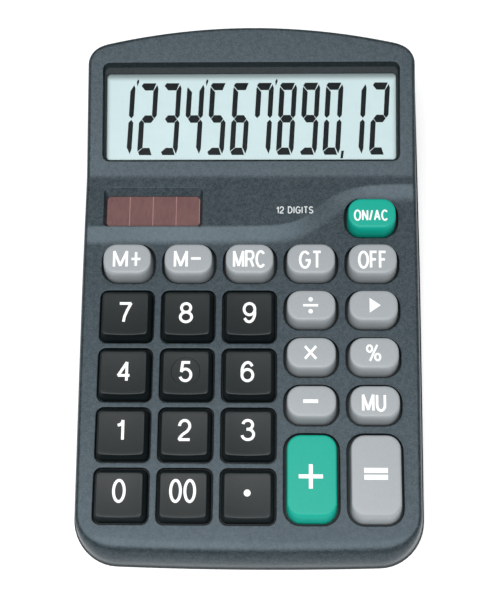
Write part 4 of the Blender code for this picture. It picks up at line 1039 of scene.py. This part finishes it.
def lettering(text, wide, tall, stroke):
    """A line of even strokes that fills a size, its middle at the origin. All in metres."""
    space = 2.1 * stroke / tall
    advance = [GLYPHS[c][1] if c != " " else 0.2 for c in text]
    whole = sum(advance) + space * (len(text) - 1)
    scale = (wide - stroke) / whole
    lines, x = [], -(wide - stroke) / 2
    for character, across in zip(text, advance):
        for line in GLYPHS[character][0] if character != " " else ():
            place = np.array(line) * (across * scale, tall - stroke)
            lines.append(place + (x, -(tall - stroke) / 2))
        x += (across + space) * scale
    return stroked(lines, stroke / 2)


def unbent(lines, half):
    """The lines cut at their sharp corners, each end there carried on so that the pieces meet."""
    cut = []
    for line in lines:
        start, carry = 0, np.zeros(2)
        steps = np.diff(line, axis=0)
        steps /= np.linalg.norm(steps, axis=1)[:, None]
        for i in range(1, len(line)):
            last = i == len(line) - 1
            if last or (steps[i - 1] * steps[i]).sum() < 0.6:
                part = line[start : i + 1].copy()
                part[0] -= carry
                if not last:
                    join = half * (0.9 if abs((steps[i - 1] * steps[i]).sum()) < 0.3 else 0.25)
                    part[-1] += steps[i - 1] * join
                    carry = steps[i] * join
                cut.append(part)
                start = i
    return cut


def stroked(lines, half):
    """Broad lines joined into one flat shape: their outlines, filled where a line is near."""
    corners, edges = [], []
    lines = unbent(lines, half)
    for line in lines:
        if np.hypot(*(line[0] - line[-1])) < half * 0.2:
            step = line[1] - line[-2]
            ends = [step, step]
        else:
            ends = [line[1] - line[0], line[-1] - line[-2]]
        steps = np.diff(line, axis=0)
        steps /= np.linalg.norm(steps, axis=1)[:, None]
        first, last = (end / np.linalg.norm(end) for end in ends)
        turn = np.vstack([first, steps[:-1] + steps[1:], last])
        turn[1:-1] /= np.clip((turn[1:-1] ** 2).sum(1), 0.7, None)[:, None] / 2
        side = np.column_stack([-turn[:, 1], turn[:, 0]]) * half
        loop = np.vstack([line + side, (line - side)[::-1]])
        start = len(corners)
        corners += list(loop)
        edges += [(start + i, start + (i + 1) % len(loop)) for i in range(len(loop))]
    flat = [Vector((float(x) / MM, float(y) / MM)) for x, y in corners]
    places, _, triangles, _, _, _ = delaunay_2d_cdt(flat, edges, [], 0, 1e-5)
    points = np.array([tuple(p) for p in places]) * MM
    middles = points[np.array([tuple(t) for t in triangles])].mean(1)
    near = np.zeros(len(middles), bool)
    for line in lines:
        a, b = line[:-1], line[1:]
        along = ((middles[:, None] - a) * (b - a)).sum(2) / ((b - a) ** 2).sum(1)
        # A line has flat ends, so a place past its first or last point is outside it.
        low = np.where(np.arange(len(a)) == 0, -1e-3, -0.6)
        high = np.where(np.arange(len(a)) == len(a) - 1, 1.001, 1.6)
        foot = a + np.clip(along, 0, 1)[..., None] * (b - a)
        reach = np.hypot(*np.moveaxis(middles[:, None] - foot, 2, 0))
        near |= ((reach < half * 1.02) & (along > low) & (along < high)).any(1)
    return points, [tuple(t) for t, keep in zip(triangles, near) if keep]


def bar(low, high):
    """An upright rectangle as an outline."""
    (a, b), (c, d) = low, high
    return [(a, b), (c, b), (c, d), (a, d)]


def disc(centre, radius):
    """A round dot as an outline."""
    return [(centre[0] + radius * math.cos(t), centre[1] + radius * math.sin(t)) for t in whole_turn(20)]


def turned(points, angle):
    c, s = math.cos(angle), math.sin(angle)
    return [(x * c - y * s, x * s + y * c) for x, y in points]


def symbol(shapes):
    """Several filled outlines as points and faces."""
    points, faces = [], []
    for shape in shapes:
        faces.append(tuple(range(len(points), len(points) + len(shape))))
        points += shape
    return np.array(points) * MM, faces


def cross(arm, half):
    """A plus sign as one outline."""
    a, h = arm, half
    rear = [(h, h), (h, a), (-h, a), (-h, h), (-a, h), (-a, -h)]
    return rear + [(-h, -h), (-h, -a), (h, -a), (h, -h), (a, -h), (a, h)]


def slanted(outline_points, wide, tall):
    """A multiplication cross: a plus sign turned by 45 degrees and fitted to a size."""
    points = np.array(turned(outline_points, math.pi / 4))
    points -= points.mean(0)
    reach = np.abs(points).max(0)
    return [tuple(p) for p in points / reach * (wide / 2, tall / 2)]


# Text, its middle from the middle of the key, its size and its stroke. Millimetres.
TEXTS = {
    "key_7": ("7", -0.1, 0.35, 4.8, 7.4, 0.95),
    "key_8": ("8", -0.4, 0.35, 4.8, 7.4, 0.95),
    "key_9": ("9", 0.1, 0.4, 4.6, 7.4, 0.95),
    "key_4": ("4", 0.2, 0.3, 4.8, 7.25, 0.95),
    "key_5": ("5", -0.1, 0.35, 4.55, 7.25, 0.95),
    "key_6": ("6", -0.4, 0.4, 4.6, 7.25, 0.95),
    "key_1": ("1", -0.4, 0.9, 2.7, 7.4, 0.95),
    "key_2": ("2", 0.0, 1.0, 4.5, 7.4, 0.95),
    "key_3": ("3", 0.0, 1.1, 4.7, 7.4, 0.95),
    "key_0": ("0", -0.1, 1.2, 4.5, 7.9, 0.95),
    "key_00": ("00", -0.2, 1.3, 8.9, 7.9, 0.95),
    "key_memory_plus": ("M+", 0.1, 0.35, 10.0, 6.35, 0.88),
    "key_memory_minus": ("M-", -0.1, 0.35, 9.8, 6.35, 0.88),
    "key_memory_recall": ("MRC", -0.1, 0.35, 11.3, 6.35, 0.85),
    "key_grand_total": ("GT", -0.2, 0.1, 8.0, 6.5, 0.88),
    "key_off": ("OFF", -0.1, 0.1, 10.0, 6.5, 0.88),
    "key_on_clear": ("ON/AC", -0.35, -0.35, 11.9, 4.1, 0.6),
    "key_percent": ("%", -0.25, 0.5, 5.2, 6.3, 0.72),
    "key_markup": ("MU", -0.4, 0.05, 8.1, 6.15, 0.88),
}
# Symbols drawn as outlines round the middle of the print, and that middle on the key.
SYMBOLS = {
    "key_point": ([disc((0, 0), 1.15)], -0.1, 0.75),
    "key_divide": (
        [bar((-2.55, -0.42), (2.55, 0.42)), disc((0, 2.1), 0.78), disc((0, -2.1), 0.78)],
        -0.2,
        0.45,
    ),
    "key_step_back": ([[(-1.85, -2.6), (1.95, 0), (-1.85, 2.6)]], 0.5, 0.5),
    "key_times": ([slanted(cross(3.0, 0.46), 4.4, 5.0)], -0.3, 0.6),
    "key_minus": ([bar((-2.5, -0.62), (2.5, 0.62))], -0.3, 0.5),
    "key_plus": ([cross(4.0, 0.66)], -0.35, 0.3),
    "key_equals": ([bar((-3.9, 0.3), (3.9, 1.95)), bar((-3.9, -1.95), (3.9, -0.3))], -0.1, 1.25),
}
INK_LIFT = 0.02 * MM
INK_THICKNESS = 0.03 * MM
PRINT_EDGE = 1.2 * MM  # longer edges are cut in two, so that a print follows a hollow key


def thick_print(name, points, faces, height, place, body, ink):
    """A print with a body of its own: flat outlines laid on height(x, v), in a place."""
    base = bmesh.new()
    corners = [base.verts.new((x, v, 0)) for x, v in points]
    for face in faces:
        base.faces.new([corners[i] for i in face])
    bmesh.ops.remove_doubles(base, verts=base.verts, dist=1e-7)
    bmesh.ops.triangulate(base, faces=base.faces)
    for face in base.faces:
        if face.normal.z < 0:
            face.normal_flip()
    long_edges = [e for e in base.edges if e.calc_length() > PRINT_EDGE]
    bmesh.ops.subdivide_edges(base, edges=long_edges, cuts=1, use_grid_fill=False)
    bmesh.ops.triangulate(base, faces=base.faces)
    for vert in base.verts:
        vert.co.z = float(height(vert.co.x, vert.co.y)) + INK_LIFT + INK_THICKNESS
    top = list(base.faces)
    result = bmesh.ops.duplicate(base, geom=list(base.verts) + list(base.edges) + top)
    under = {e for e in result["geom"] if isinstance(e, bmesh.types.BMVert)}
    for vert in under:
        vert.co.z -= INK_THICKNESS + INK_LIFT * 0.8
    for face in [f for f in result["geom"] if isinstance(f, bmesh.types.BMFace)]:
        face.normal_flip()
    pair = result["vert_map"]
    for edge in [e for e in base.edges if e.is_boundary and e.verts[0] not in under]:
        a, b = edge.verts
        loop = edge.link_loops[0]
        if loop.vert is not a:
            a, b = b, a
        base.faces.new((b, a, pair[a], pair[b]))
    base.transform(place)
    mesh = bpy.data.meshes.new(name)
    base.to_mesh(mesh)
    base.free()
    return dressed(name, mesh, [ink], body, sharp=40, weighted=False)


def make_legends():
    """A raised print on each key."""
    prints = {}
    for node, (letters, dx, dv, wide, tall, stroke) in TEXTS.items():
        prints[node] = (*lettering(letters, wide * MM, tall * MM, stroke * MM), dx, dv)
    for node, (shapes, dx, dv) in SYMBOLS.items():
        prints[node] = (*symbol(shapes), dx, dv)
    for node, (points, faces, dx, dv) in prints.items():
        x0, v0, _, _ = key_place(node)
        place = DECK @ Matrix.Translation((x0, v0, 0))
        points = points + (dx * MM, dv * MM)
        name = node.replace("key_", "print_")
        thick_print(name, points, faces, lambda x, v, n=node: key_top(n, x, v), place, node, INK)


RING_MIDDLE = (-0.1 * MM, 0.35 * MM)  # from the middle of its key
RING_STEPS = ((5.05, -0.1), (4.98, 0.06), (4.85, 0.1), (4.72, 0.06), (4.65, -0.1))  # radius, lift


def finger_ring():
    """The raised ring that marks the middle key for the fingertip."""
    x0, v0, _, _ = key_place("key_5")
    dx, dv = RING_MIDDLE
    place = DECK @ Matrix.Translation((x0 + dx, v0 + dv, 0))
    shell = Shell()
    turns = whole_turn(64)
    rows = []
    for radius, lift in RING_STEPS:
        x, v = radius * MM * np.cos(turns), radius * MM * np.sin(turns)
        z = key_top("key_5", x + dx, v + dv) + lift * MM
        rows.append(shell.row(placed(place, np.column_stack([x, v, z]))))
    for lower, upper in zip(rows, rows[1:] + rows[:1]):
        shell.bridge(lower, upper)
    piece("finger_ring", shell.points, shell.faces, [BLACK], "key_5", sharp=60)


# --- Display ----------------------------------------------------------------
DIGIT_WIDE, DIGIT_TALL, DIGIT_PITCH = 6.2, 26.0, 8.28
DIGIT_START = (-49.1, 8.4)  # lower left corner of the first digit, on the hood
DIGIT_SLANT = math.tan(math.radians(3.2))
LCD_LEVEL = -3.2 * MM
SHOWN, TICK_PLACES, POINT_PLACE = "123456789012", (0, 3, 6), 9


def digit_segments():
    """The seven segments of a digit as outlines, from its lower left corner. Millimetres."""
    w, h, m = DIGIT_WIDE, DIGIT_TALL, DIGIT_TALL / 2
    return {
        "a": [(0.1, h - 1.0), (0.75, h), (5.35, h), (4.45, h - 2.6), (1.5, h - 2.6)],
        "b": [(5.7, h - 0.6), (w, h - 1.9), (w, m + 1.3), (5.45, m + 0.25), (4.5, m + 1.25), (4.45, h - 2.9)],
        "c": [(5.45, m - 0.25), (w, m - 1.3), (w, 2.3), (5.65, 0.4), (4.45, 2.8), (4.5, m - 1.25)],
        "d": [(0.3, 1.1), (0.85, 0), (5.25, 0), (4.3, 2.6), (1.9, 2.6)],
        "e": [(0.1, 1.3), (1.85, 2.75), (1.8, m - 1.3), (0.85, m - 0.25), (0, m - 1.3), (0, 2.2)],
        "f": [(0.85, m + 0.25), (1.8, m + 1.3), (1.8, h - 3.3), (0.15, h - 1.45), (0, h - 2.2), (0, m + 1.2)],
        "g": [(0.95, m), (1.95, m + 1.35), (4.3, m + 1.35), (5.3, m), (4.3, m - 1.35), (1.95, m - 1.35)],
    }


DIGITS = {
    "0": "abcdef",
    "1": "bc",
    "2": "abged",
    "3": "abgcd",
    "4": "fgbc",
    "5": "afgcd",
    "6": "afgcde",
    "7": "fabc",
    "8": "abcdefg",
    "9": "abcdfg",
}


def lcd_digits():
    """Twelve digits with their thousands ticks and the decimal mark, as thin dark prints."""
    segments = digit_segments()
    w, h = DIGIT_WIDE, DIGIT_TALL
    tick = [(0.7, 1.3), (0.35, 0.5), (0.65, -1.1), (1.2, 0.5), (1.1, 1.3)]
    tick = [(w + x, h + y) for x, y in tick]
    mark = [(w + 0.3, -1.3), (w + 1.2, -1.3), (w + 1.45, 1.45), (w + 0.5, 1.45)]
    shapes = []
    for place, digit in enumerate(SHOWN):
        drawn = [segments[s] for s in DIGITS[digit]]
        if place in TICK_PLACES:
            drawn.append(tick)
        if place == POINT_PLACE:
            drawn.append(mark)
        for shape in drawn:
            shapes.append([(x + y * DIGIT_SLANT + place * DIGIT_PITCH, y) for x, y in shape])
    points, faces = symbol(shapes)
    points = points + np.array(DIGIT_START) * MM
    thick_print("lcd_digits", points, faces, lambda x, v: LCD_LEVEL, HOOD, "case", LCD_INK)


def solar_fields():
    """Four fields of dark film on the cell, with paler lines between and round them."""
    low, high = span("solar_cell", PLATEAU)
    level = high[2]
    field = Shell()
    count, line = 4, 0.32 * MM  # fields, and the width of the lines between them
    left, right = low[0] + 1.5 * MM, high[0] - 1.5 * MM
    front, rear = low[1] + 1.3 * MM, high[1] - 1.2 * MM
    wide = (right - left - (count - 1) * line) / count
    for i in range(count):
        a = left + i * (wide + line)
        rows = []
        for grow, lift in ((0, 0.005), (0, 0.045), (-0.06, 0.06)):
            low_corner = (a - grow * MM, front - grow * MM)
            high_corner = (a + wide + grow * MM, rear + grow * MM)
            flat = rounded_rectangle(low_corner, high_corner, 0.2 * MM, 3)
            lifted = np.column_stack([flat, np.full(len(flat), level + lift * MM)])
            rows.append(field.row(placed(PLATEAU, lifted)))
        field.cap(rows[0], up=False)
        for lower, upper in zip(rows, rows[1:]):
            field.bridge(lower, upper)
        field.cap(rows[-1])
    piece("solar_fields", field.points, field.faces, [SOLAR_FILM], "case", sharp=30)


def plate_prints():
    """A small generic line on the plateau, over the memory keys."""
    points, faces = lettering("12 DIGITS", 13.0 * MM, 2.7 * MM, 0.4 * MM)
    points = points + (15.6 * MM, 6.1 * MM)
    thick_print("print_digits", points, faces, lambda x, v: 0.0, PLATEAU, "case", PLATE_INK)


# --- Lower case -------------------------------------------------------------
def solid(name, shell):
    """A bare object, to cut or to be cut."""
    mesh = bpy.data.meshes.new(name)
    mesh.from_pydata([tuple(map(float, p)) for p in shell.points], [], shell.faces)
    made = bpy.data.objects.new(name, mesh)
    bpy.context.scene.collection.objects.link(made)
    return made


def loft(name, rings):
    """A closed solid through rings of points, from the lowest up."""
    shell = Shell()
    rows = [shell.row(points) for points in rings]
    shell.cap(rows[0], up=False)
    for lower, upper in zip(rows, rows[1:]):
        shell.bridge(lower, upper)
    shell.cap(rows[-1])
    return solid(name, shell)


def block(name, low, high):
    """A block between two corners. Plan y from the front edge."""
    flat = np.array([low[:2], (high[0], low[1]), high[:2], (low[0], high[1])]) - (0, LENGTH / 2)
    return loft(name, [list(np.column_stack([flat, np.full(4, z)])) for z in (low[2], high[2])])


def drum(name, centre, radius, low, high, steps=40):
    """An upright round block."""
    turns = whole_turn(steps)
    x, y = centre[0] + radius * np.cos(turns), centre[1] - LENGTH / 2 + radius * np.sin(turns)
    return loft(name, [list(np.column_stack([x, y, np.full(steps, z)])) for z in (low, high)])


def carved(base, steps):
    """The mesh left after Boolean steps, each an operation and its cutter. Helpers are removed."""
    for operation, cutter in steps:
        modifier = base.modifiers.new("carve", "BOOLEAN")
        modifier.operation, modifier.object, modifier.solver = operation, cutter, "EXACT"
    depsgraph = bpy.context.evaluated_depsgraph_get()
    mesh = bpy.data.meshes.new_from_object(base.evaluated_get(depsgraph))
    for helper in [base] + [cutter for _, cutter in steps]:
        bpy.data.objects.remove(helper)
    return mesh


def lower_skin(name):
    """Outside of the lower half: a flat underside, a rounded turn and walls up to the seam."""
    foot_inset, foot = 2.6, 2.5 * MM  # where the turn ends and the wall begins
    turn = ((4.6, 1.2), (4.0, 1.22), (3.5, 1.4), (3.05, 1.75), (2.72, 2.25), (foot_inset, 2.5))
    rings = [ring(inset * MM, height * MM) for inset, height in turn]
    for share in (0.35, 0.7, 0.93):
        inset = foot_inset * (1 - share) * MM
        rings.append(ring(inset, lambda x, y, s=share: foot + (parting(y) - SEAM - foot) * s))
    for inset, drop in ((0.0, 0.25), (0.12, 0.08), (0.3, 0.0)):
        rings.append(ring(inset * MM, lambda x, y, d=drop: parting(y) - SEAM - d * MM))
    return loft(name, rings)


def lower_hollow(name):
    """The room inside the lower half."""
    return loft(
        name,
        [
            ring(5 * MM, 3 * MM),
            ring(WALL, lambda x, y: parting(y)),
            ring(WALL, lambda x, y: parting(y) + 5 * MM),
        ],
    )


DOOR_LOW, DOOR_HIGH = span("battery_door", LEVEL)
DOOR_HALF = DOOR_HIGH[0]
DOOR_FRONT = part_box("battery_door")[0].y + LENGTH / 2 + 2.0 * MM
SLIDE_GAP = 0.3 * MM
LIP_TOP = DOOR_HIGH[2]
BAY_WALL, BAY_ROOF, CELL_ROOM = 1.5 * MM, 1.2 * MM, 0.6 * MM
WELL_RADIUS, WELL_TOP = 2.75 * MM, 3.8 * MM  # round the case screws' heads
SEAT_RADIUS, SEAT_TOP = 5.3 * MM, 1.8 * MM  # round the feet
# Round a screw, its post in the lower half: radius and height, in millimetres.
POST_STEPS = ((4.05, 2.6), (4.05, 5.4), (1.6, 5.4), (1.6, 3.85), (2.75, 3.85), (2.75, 2.6))
TONGUE_HALF = 18 * MM
FOOT_NODES = [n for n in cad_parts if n.startswith("foot_")]
SCREW_NODES = [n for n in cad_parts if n.startswith("case_screw_")]


def middle_of(node):
    """Middle of a CAD node, y from the front edge."""
    low, high = span(node, LEVEL)
    return (low + high) / 2


def lower_case():
    """The tray underneath, with its bay, screw wells, foot seats and the raised seam lip."""
    steps = [("DIFFERENCE", lower_hollow("hollow"))]
    bay_top = span("battery_cell", LEVEL)[1][2] + CELL_ROOM
    low = (-DOOR_HALF - BAY_WALL, DOOR_FRONT - BAY_WALL, 2.1 * MM)
    high = (DOOR_HALF + BAY_WALL, LENGTH - 7.8 * MM, bay_top + BAY_ROOF)
    steps.append(("UNION", block("bay_wall", low, high)))
    # Each cut runs from one side of the door to the other: its front, foot, rear and top.
    side = DOOR_HALF + SLIDE_GAP
    for name, front, foot, rear, top in (
        ("bay", DOOR_FRONT - SLIDE_GAP, -4 * MM, LENGTH - 9.0 * MM, bay_top),
        ("mouth", LENGTH - 7.4 * MM, -5 * MM, LENGTH + 9 * MM, LIP_TOP + SLIDE_GAP),
        ("slide", LENGTH - 12 * MM, -6 * MM, LENGTH, 3.3 * MM),
    ):
        steps.append(("DIFFERENCE", block(name, (-DOOR_HALF - SLIDE_GAP, front, foot), (side, rear, top))))
    for node in SCREW_NODES:
        well = drum(node + "_well", middle_of(node), WELL_RADIUS, -3 * MM, WELL_TOP)
        steps.append(("DIFFERENCE", well))
    for node in FOOT_NODES:
        seat = drum(node + "_seat", middle_of(node), SEAT_RADIUS, -3 * MM, SEAT_TOP, 56)
        steps.append(("DIFFERENCE", seat))
    mesh = carved(lower_skin("lower_skin"), steps)
    dressed("lower_case", mesh, [LOWER], "case", ["bottom_case"], sharp=28)
    # A post round each screw well, which the screw clamps.
    shell = Shell()
    turns = whole_turn(32)
    for node in SCREW_NODES:
        middle = middle_of(node)
        rows = []
        for radius, z in POST_STEPS:
            x = middle[0] + radius * MM * np.cos(turns)
            y = middle[1] - LENGTH / 2 + radius * MM * np.sin(turns)
            rows.append(shell.row(np.column_stack([x, y, np.full(32, z * MM)])))
        for lower, upper in zip(rows, rows[1:] + rows[:1]):
            shell.bridge(lower, upper)
    piece("screw_posts", shell.points, shell.faces, [LOWER], "case", sharp=30)


def battery_door():
    """The sliding door: a piece of the same skin, with a tongue in front and a thumb hollow."""
    half = DOOR_HALF
    plate = block("door_plate", (-half, DOOR_FRONT, -4 * MM), (half, LENGTH + 9 * MM, 3 * MM))
    lip = block("door_lip", (-half, LENGTH - 7.2 * MM, -3 * MM), (half, LENGTH + 10 * MM, LIP_TOP))
    half = TONGUE_HALF
    tongue = block("tongue", (-half, DOOR_LOW[1], 3.3 * MM), (half, DOOR_FRONT + 3 * MM, 4.3 * MM))
    root_low, root_high = DOOR_FRONT + 0.6 * MM, DOOR_FRONT + 2.8 * MM
    root = block("root", (-half, root_low, 2.2 * MM), (half, root_high, 3.9 * MM))
    thumb_middle = (0, DOOR_FRONT + 9.5 * MM)
    thumb = drum("thumb", thumb_middle, 7.5 * MM, 0.2 * MM, UNDERSIDE_Z + 0.55 * MM, 64)
    steps = [
        ("INTERSECT", plate_with(plate, lip)),
        ("DIFFERENCE", lower_hollow("door_hollow")),
        ("UNION", tongue),
        ("UNION", root),
        ("DIFFERENCE", thumb),
    ]
    mesh = carved(lower_skin("door_skin"), steps)
    dressed("sliding_door", mesh, [LOWER], "battery_door", ["battery_door"], sharp=28)


def plate_with(plate, lip):
    """The door's plate and upright lip as one cutter."""
    mesh = carved(plate, [("UNION", lip)])
    made = bpy.data.objects.new("door_shape", mesh)
    bpy.context.scene.collection.objects.link(made)
    return made


# --- Repeated pieces, by node trees -----------------------------------------
def grown(name, points, build, sizes, finish, body, replaces=(), sharp=30):
    """Runs a geometry tree on some places and keeps the plain mesh that it makes."""
    tree = bpy.data.node_groups.new(name, "GeometryNodeTree")
    tree.interface.new_socket("Geometry", in_out="INPUT", socket_type="NodeSocketGeometry")
    tree.interface.new_socket("Geometry", in_out="OUTPUT", socket_type="NodeSocketGeometry")
    for label in sizes:
        tree.interface.new_socket(label, in_out="INPUT", socket_type="NodeSocketFloat")
    entry = tree.nodes.new("NodeGroupInput")
    leave = tree.nodes.new("NodeGroupOutput")
    helper = Tree(tree)
    given = {label: Value(helper, entry.outputs[label]) for label in sizes}
    shape = build(helper, given)
    spread = helper.node(
        "GeometryNodeInstanceOnPoints",
        None,
        {"Points": Value(helper, entry.outputs["Geometry"]), "Instance": shape},
    )
    plain = helper.node("GeometryNodeRealizeInstances", None, {"Geometry": spread})
    painted = helper.node("GeometryNodeSetMaterial", None, {"Geometry": plain, "Material": finish})
    tree.links.new(painted.socket, leave.inputs[0])
    mesh = bpy.data.meshes.new(name + "_places")
    mesh.from_pydata([tuple(map(float, p)) for p in points], [], [])
    source = bpy.data.objects.new(name + "_places", mesh)
    bpy.context.scene.collection.objects.link(source)
    modifier = source.modifiers.new("grow", "NODES")
    modifier.node_group = tree
    for item in tree.interface.items_tree:
        if item.in_out == "INPUT" and item.name in sizes:
            modifier[item.identifier] = float(sizes[item.name])
    depsgraph = bpy.context.evaluated_depsgraph_get()
    made = bpy.data.meshes.new_from_object(source.evaluated_get(depsgraph))
    bpy.data.objects.remove(source)
    return dressed(name, made, [finish], body, replaces, sharp=sharp, weighted=False)


def vector(tree, x=0.0, y=0.0, z=0.0):
    """A vector from numbers or sockets."""
    return tree.node("ShaderNodeCombineXYZ", None, {0: x, 1: y, 2: z})


def moved(tree, geometry, offset):
    """A geometry shifted by a vector."""
    return tree.node("GeometryNodeTransform", None, {"Geometry": geometry, "Translation": offset})


def screw_shape(tree, size):
    """A pan head with a cross recess, head down, its seat at z = 0, and a shank above it."""
    head, tall = size["Head radius"], size["Head height"]
    filled = {"fill_type": "NGON"}
    measures = {"Vertices": 40, "Radius": head, "Depth": tall * 0.6}
    rim = tree.node("GeometryNodeMeshCylinder", filled, measures)
    rim = moved(tree, rim, vector(tree, z=tall * -0.3))
    measures = {"Vertices": 40, "Radius Top": head * 0.98, "Radius Bottom": head * 0.7, "Depth": tall * 0.42}
    crown = tree.node("GeometryNodeMeshCone", filled, measures)
    crown = moved(tree, crown, vector(tree, z=tall * -1.0))
    measures = {"Vertices": 28, "Radius": size["Shank radius"], "Depth": size["Shank length"]}
    shank = tree.node("GeometryNodeMeshCylinder", filled, measures)
    shank = moved(tree, shank, vector(tree, z=size["Shank length"] * 0.5 - 0.05 * MM))
    body = tree.node("GeometryNodeMeshBoolean", {"operation": "UNION"}, {1: rim})
    boolean = body.socket.node
    tree.tree.links.new(crown.socket, boolean.inputs[1])
    tree.tree.links.new(shank.socket, boolean.inputs[1])
    arm, slot = size["Recess length"], size["Recess width"]
    slots = []
    for along, across in ((arm, slot), (slot, arm)):
        cube = tree.node("GeometryNodeMeshCube", None, {"Size": vector(tree, along, across, tall * 0.9)})
        slots.append(moved(tree, cube, vector(tree, z=tall * -1.05)))
    cut = tree.node("GeometryNodeMeshBoolean", {"operation": "DIFFERENCE"}, {0: body, 1: slots[0]})
    tree.tree.links.new(slots[1].socket, cut.socket.node.inputs[1])
    return cut


def foot_shape(tree, size):
    """A round rubber foot with a chamfered edge, standing on z = 0."""
    radius, tall, edge = size["Radius"], size["Height"], size["Chamfer"]
    filled = {"fill_type": "NGON"}
    measures = {"Vertices": 64, "Radius": radius, "Depth": tall - edge}
    body = tree.node("GeometryNodeMeshCylinder", filled, measures)
    body = moved(tree, body, vector(tree, z=(tall + edge) * 0.5))
    measures = {"Vertices": 64, "Radius Top": radius, "Radius Bottom": radius - edge, "Depth": edge * 1.02}
    foot = tree.node("GeometryNodeMeshCone", filled, measures)
    joined = tree.node("GeometryNodeMeshBoolean", {"operation": "UNION"}, {1: body})
    tree.tree.links.new(foot.socket, joined.socket.node.inputs[1])
    return joined


def ridge_shape(tree, size):
    """A grip ridge: a low rounded bar."""
    ends = {"Start": vector(tree, size["Length"] * -0.5), "End": vector(tree, size["Length"] * 0.5)}
    line = tree.node("GeometryNodeCurvePrimitiveLine", None, ends)
    profile = {"Resolution": 14, "Radius": size["Radius"]}
    round_bar = tree.node("GeometryNodeCurvePrimitiveCircle", None, profile)
    inputs = {"Curve": line, "Profile Curve": round_bar, "Fill Caps": True}
    return tree.node("GeometryNodeCurveToMesh", None, inputs)


SCREW_SEAT = 3.5 * MM  # height of the faces that the screws' heads press on
RIDGE_RADIUS = 0.42 * MM
RIDGE_START, RIDGE_PITCH = 5.5, 2.0  # millimetres behind the door's front edge


def small_parts():
    """Screws, feet and the door's grip ridges."""
    places = []
    for node in SCREW_NODES:
        middle = middle_of(node)
        places.append((middle[0], middle[1] - LENGTH / 2, SCREW_SEAT))
    sizes = {
        "Head radius": 2.4 * MM,
        "Head height": 1.3 * MM,
        "Shank radius": 1.2 * MM,
        "Shank length": 6.0 * MM,
        "Recess length": 2.7 * MM,
        "Recess width": 0.62 * MM,
    }
    grown("case_screws", places, screw_shape, sizes, SCREW_STEEL, "case", SCREW_NODES)
    places = []
    for node in FOOT_NODES:
        middle = middle_of(node)
        places.append((middle[0], middle[1] - LENGTH / 2, span(node, LEVEL)[0][2]))
    sizes = {"Radius": 5.0 * MM, "Height": 1.5 * MM, "Chamfer": 0.35 * MM}
    grown("rubber_feet", places, foot_shape, sizes, FOOT_RUBBER, "case", FOOT_NODES)
    rows = [DOOR_FRONT + (RIDGE_START + RIDGE_PITCH * i) * MM - LENGTH / 2 for i in range(5)]
    places = [(0, y, UNDERSIDE_Z + RIDGE_RADIUS) for y in rows]
    sizes = {"Length": 9.0 * MM, "Radius": RIDGE_RADIUS}
    grown("grip_ridges", places, ridge_shape, sizes, LOWER, "battery_door")


# --- CAD nodes that keep their shape ----------------------------------------
def dress_nodes():
    """Finishes for the nodes that no piece replaces."""
    keep = {
        "display_window": WINDOW,
        "lcd_panel": LCD_GROUND,
        "lcd_holder": HOLDER,
        "lcd_ribbon": RIBBON,
        "solar_cell": SOLAR_LINE,
        "circuit_board": RESIST,
        "controller_chip": EPOXY,
        "key_mat": MAT_RUBBER,
        "battery_cell": SLEEVE,
        "battery_spring": SPRING_STEEL,
        "battery_contact_plate": SPRING_STEEL,
        "battery_lead_plus": RED_SLEEVE,
        "battery_lead_minus": BLACK_SLEEVE,
        "solar_lead_plus": RED_SLEEVE,
        "solar_lead_minus": BLACK_SLEEVE,
    }
    for node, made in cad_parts.items():
        if "screw" in node:
            keep[node] = SCREW_STEEL
        if node in keep:
            made.data.materials.clear()
            made.data.materials.append(keep[node])
            curved = node in ("battery_cell", "battery_spring", "controller_chip") or "lead" in node
            for face in made.data.polygons:
                face.use_smooth = curved
            made.data.set_sharp_from_angle(angle=math.radians(40))


def make_floor():
    """The table, which is staging and no part of the object."""
    mesh = bpy.data.meshes.new("floor")
    corners = [(x * FLOOR_REACH, y * FLOOR_REACH, 0) for x, y in ((-1, -1), (1, -1), (1, 1), (-1, 1))]
    mesh.from_pydata(corners, [], [(0, 1, 2, 3)])
    mesh.materials.append(FLOOR)
    floor = bpy.data.objects.new("floor", mesh)
    bpy.context.scene.collection.objects.link(floor)


look()
upper_case()
for key_node in KEY_NODES:
    make_key(key_node)
make_legends()
finger_ring()
lcd_digits()
solar_fields()
plate_prints()
lower_case()
battery_door()
small_parts()
dress_nodes()
make_floor()
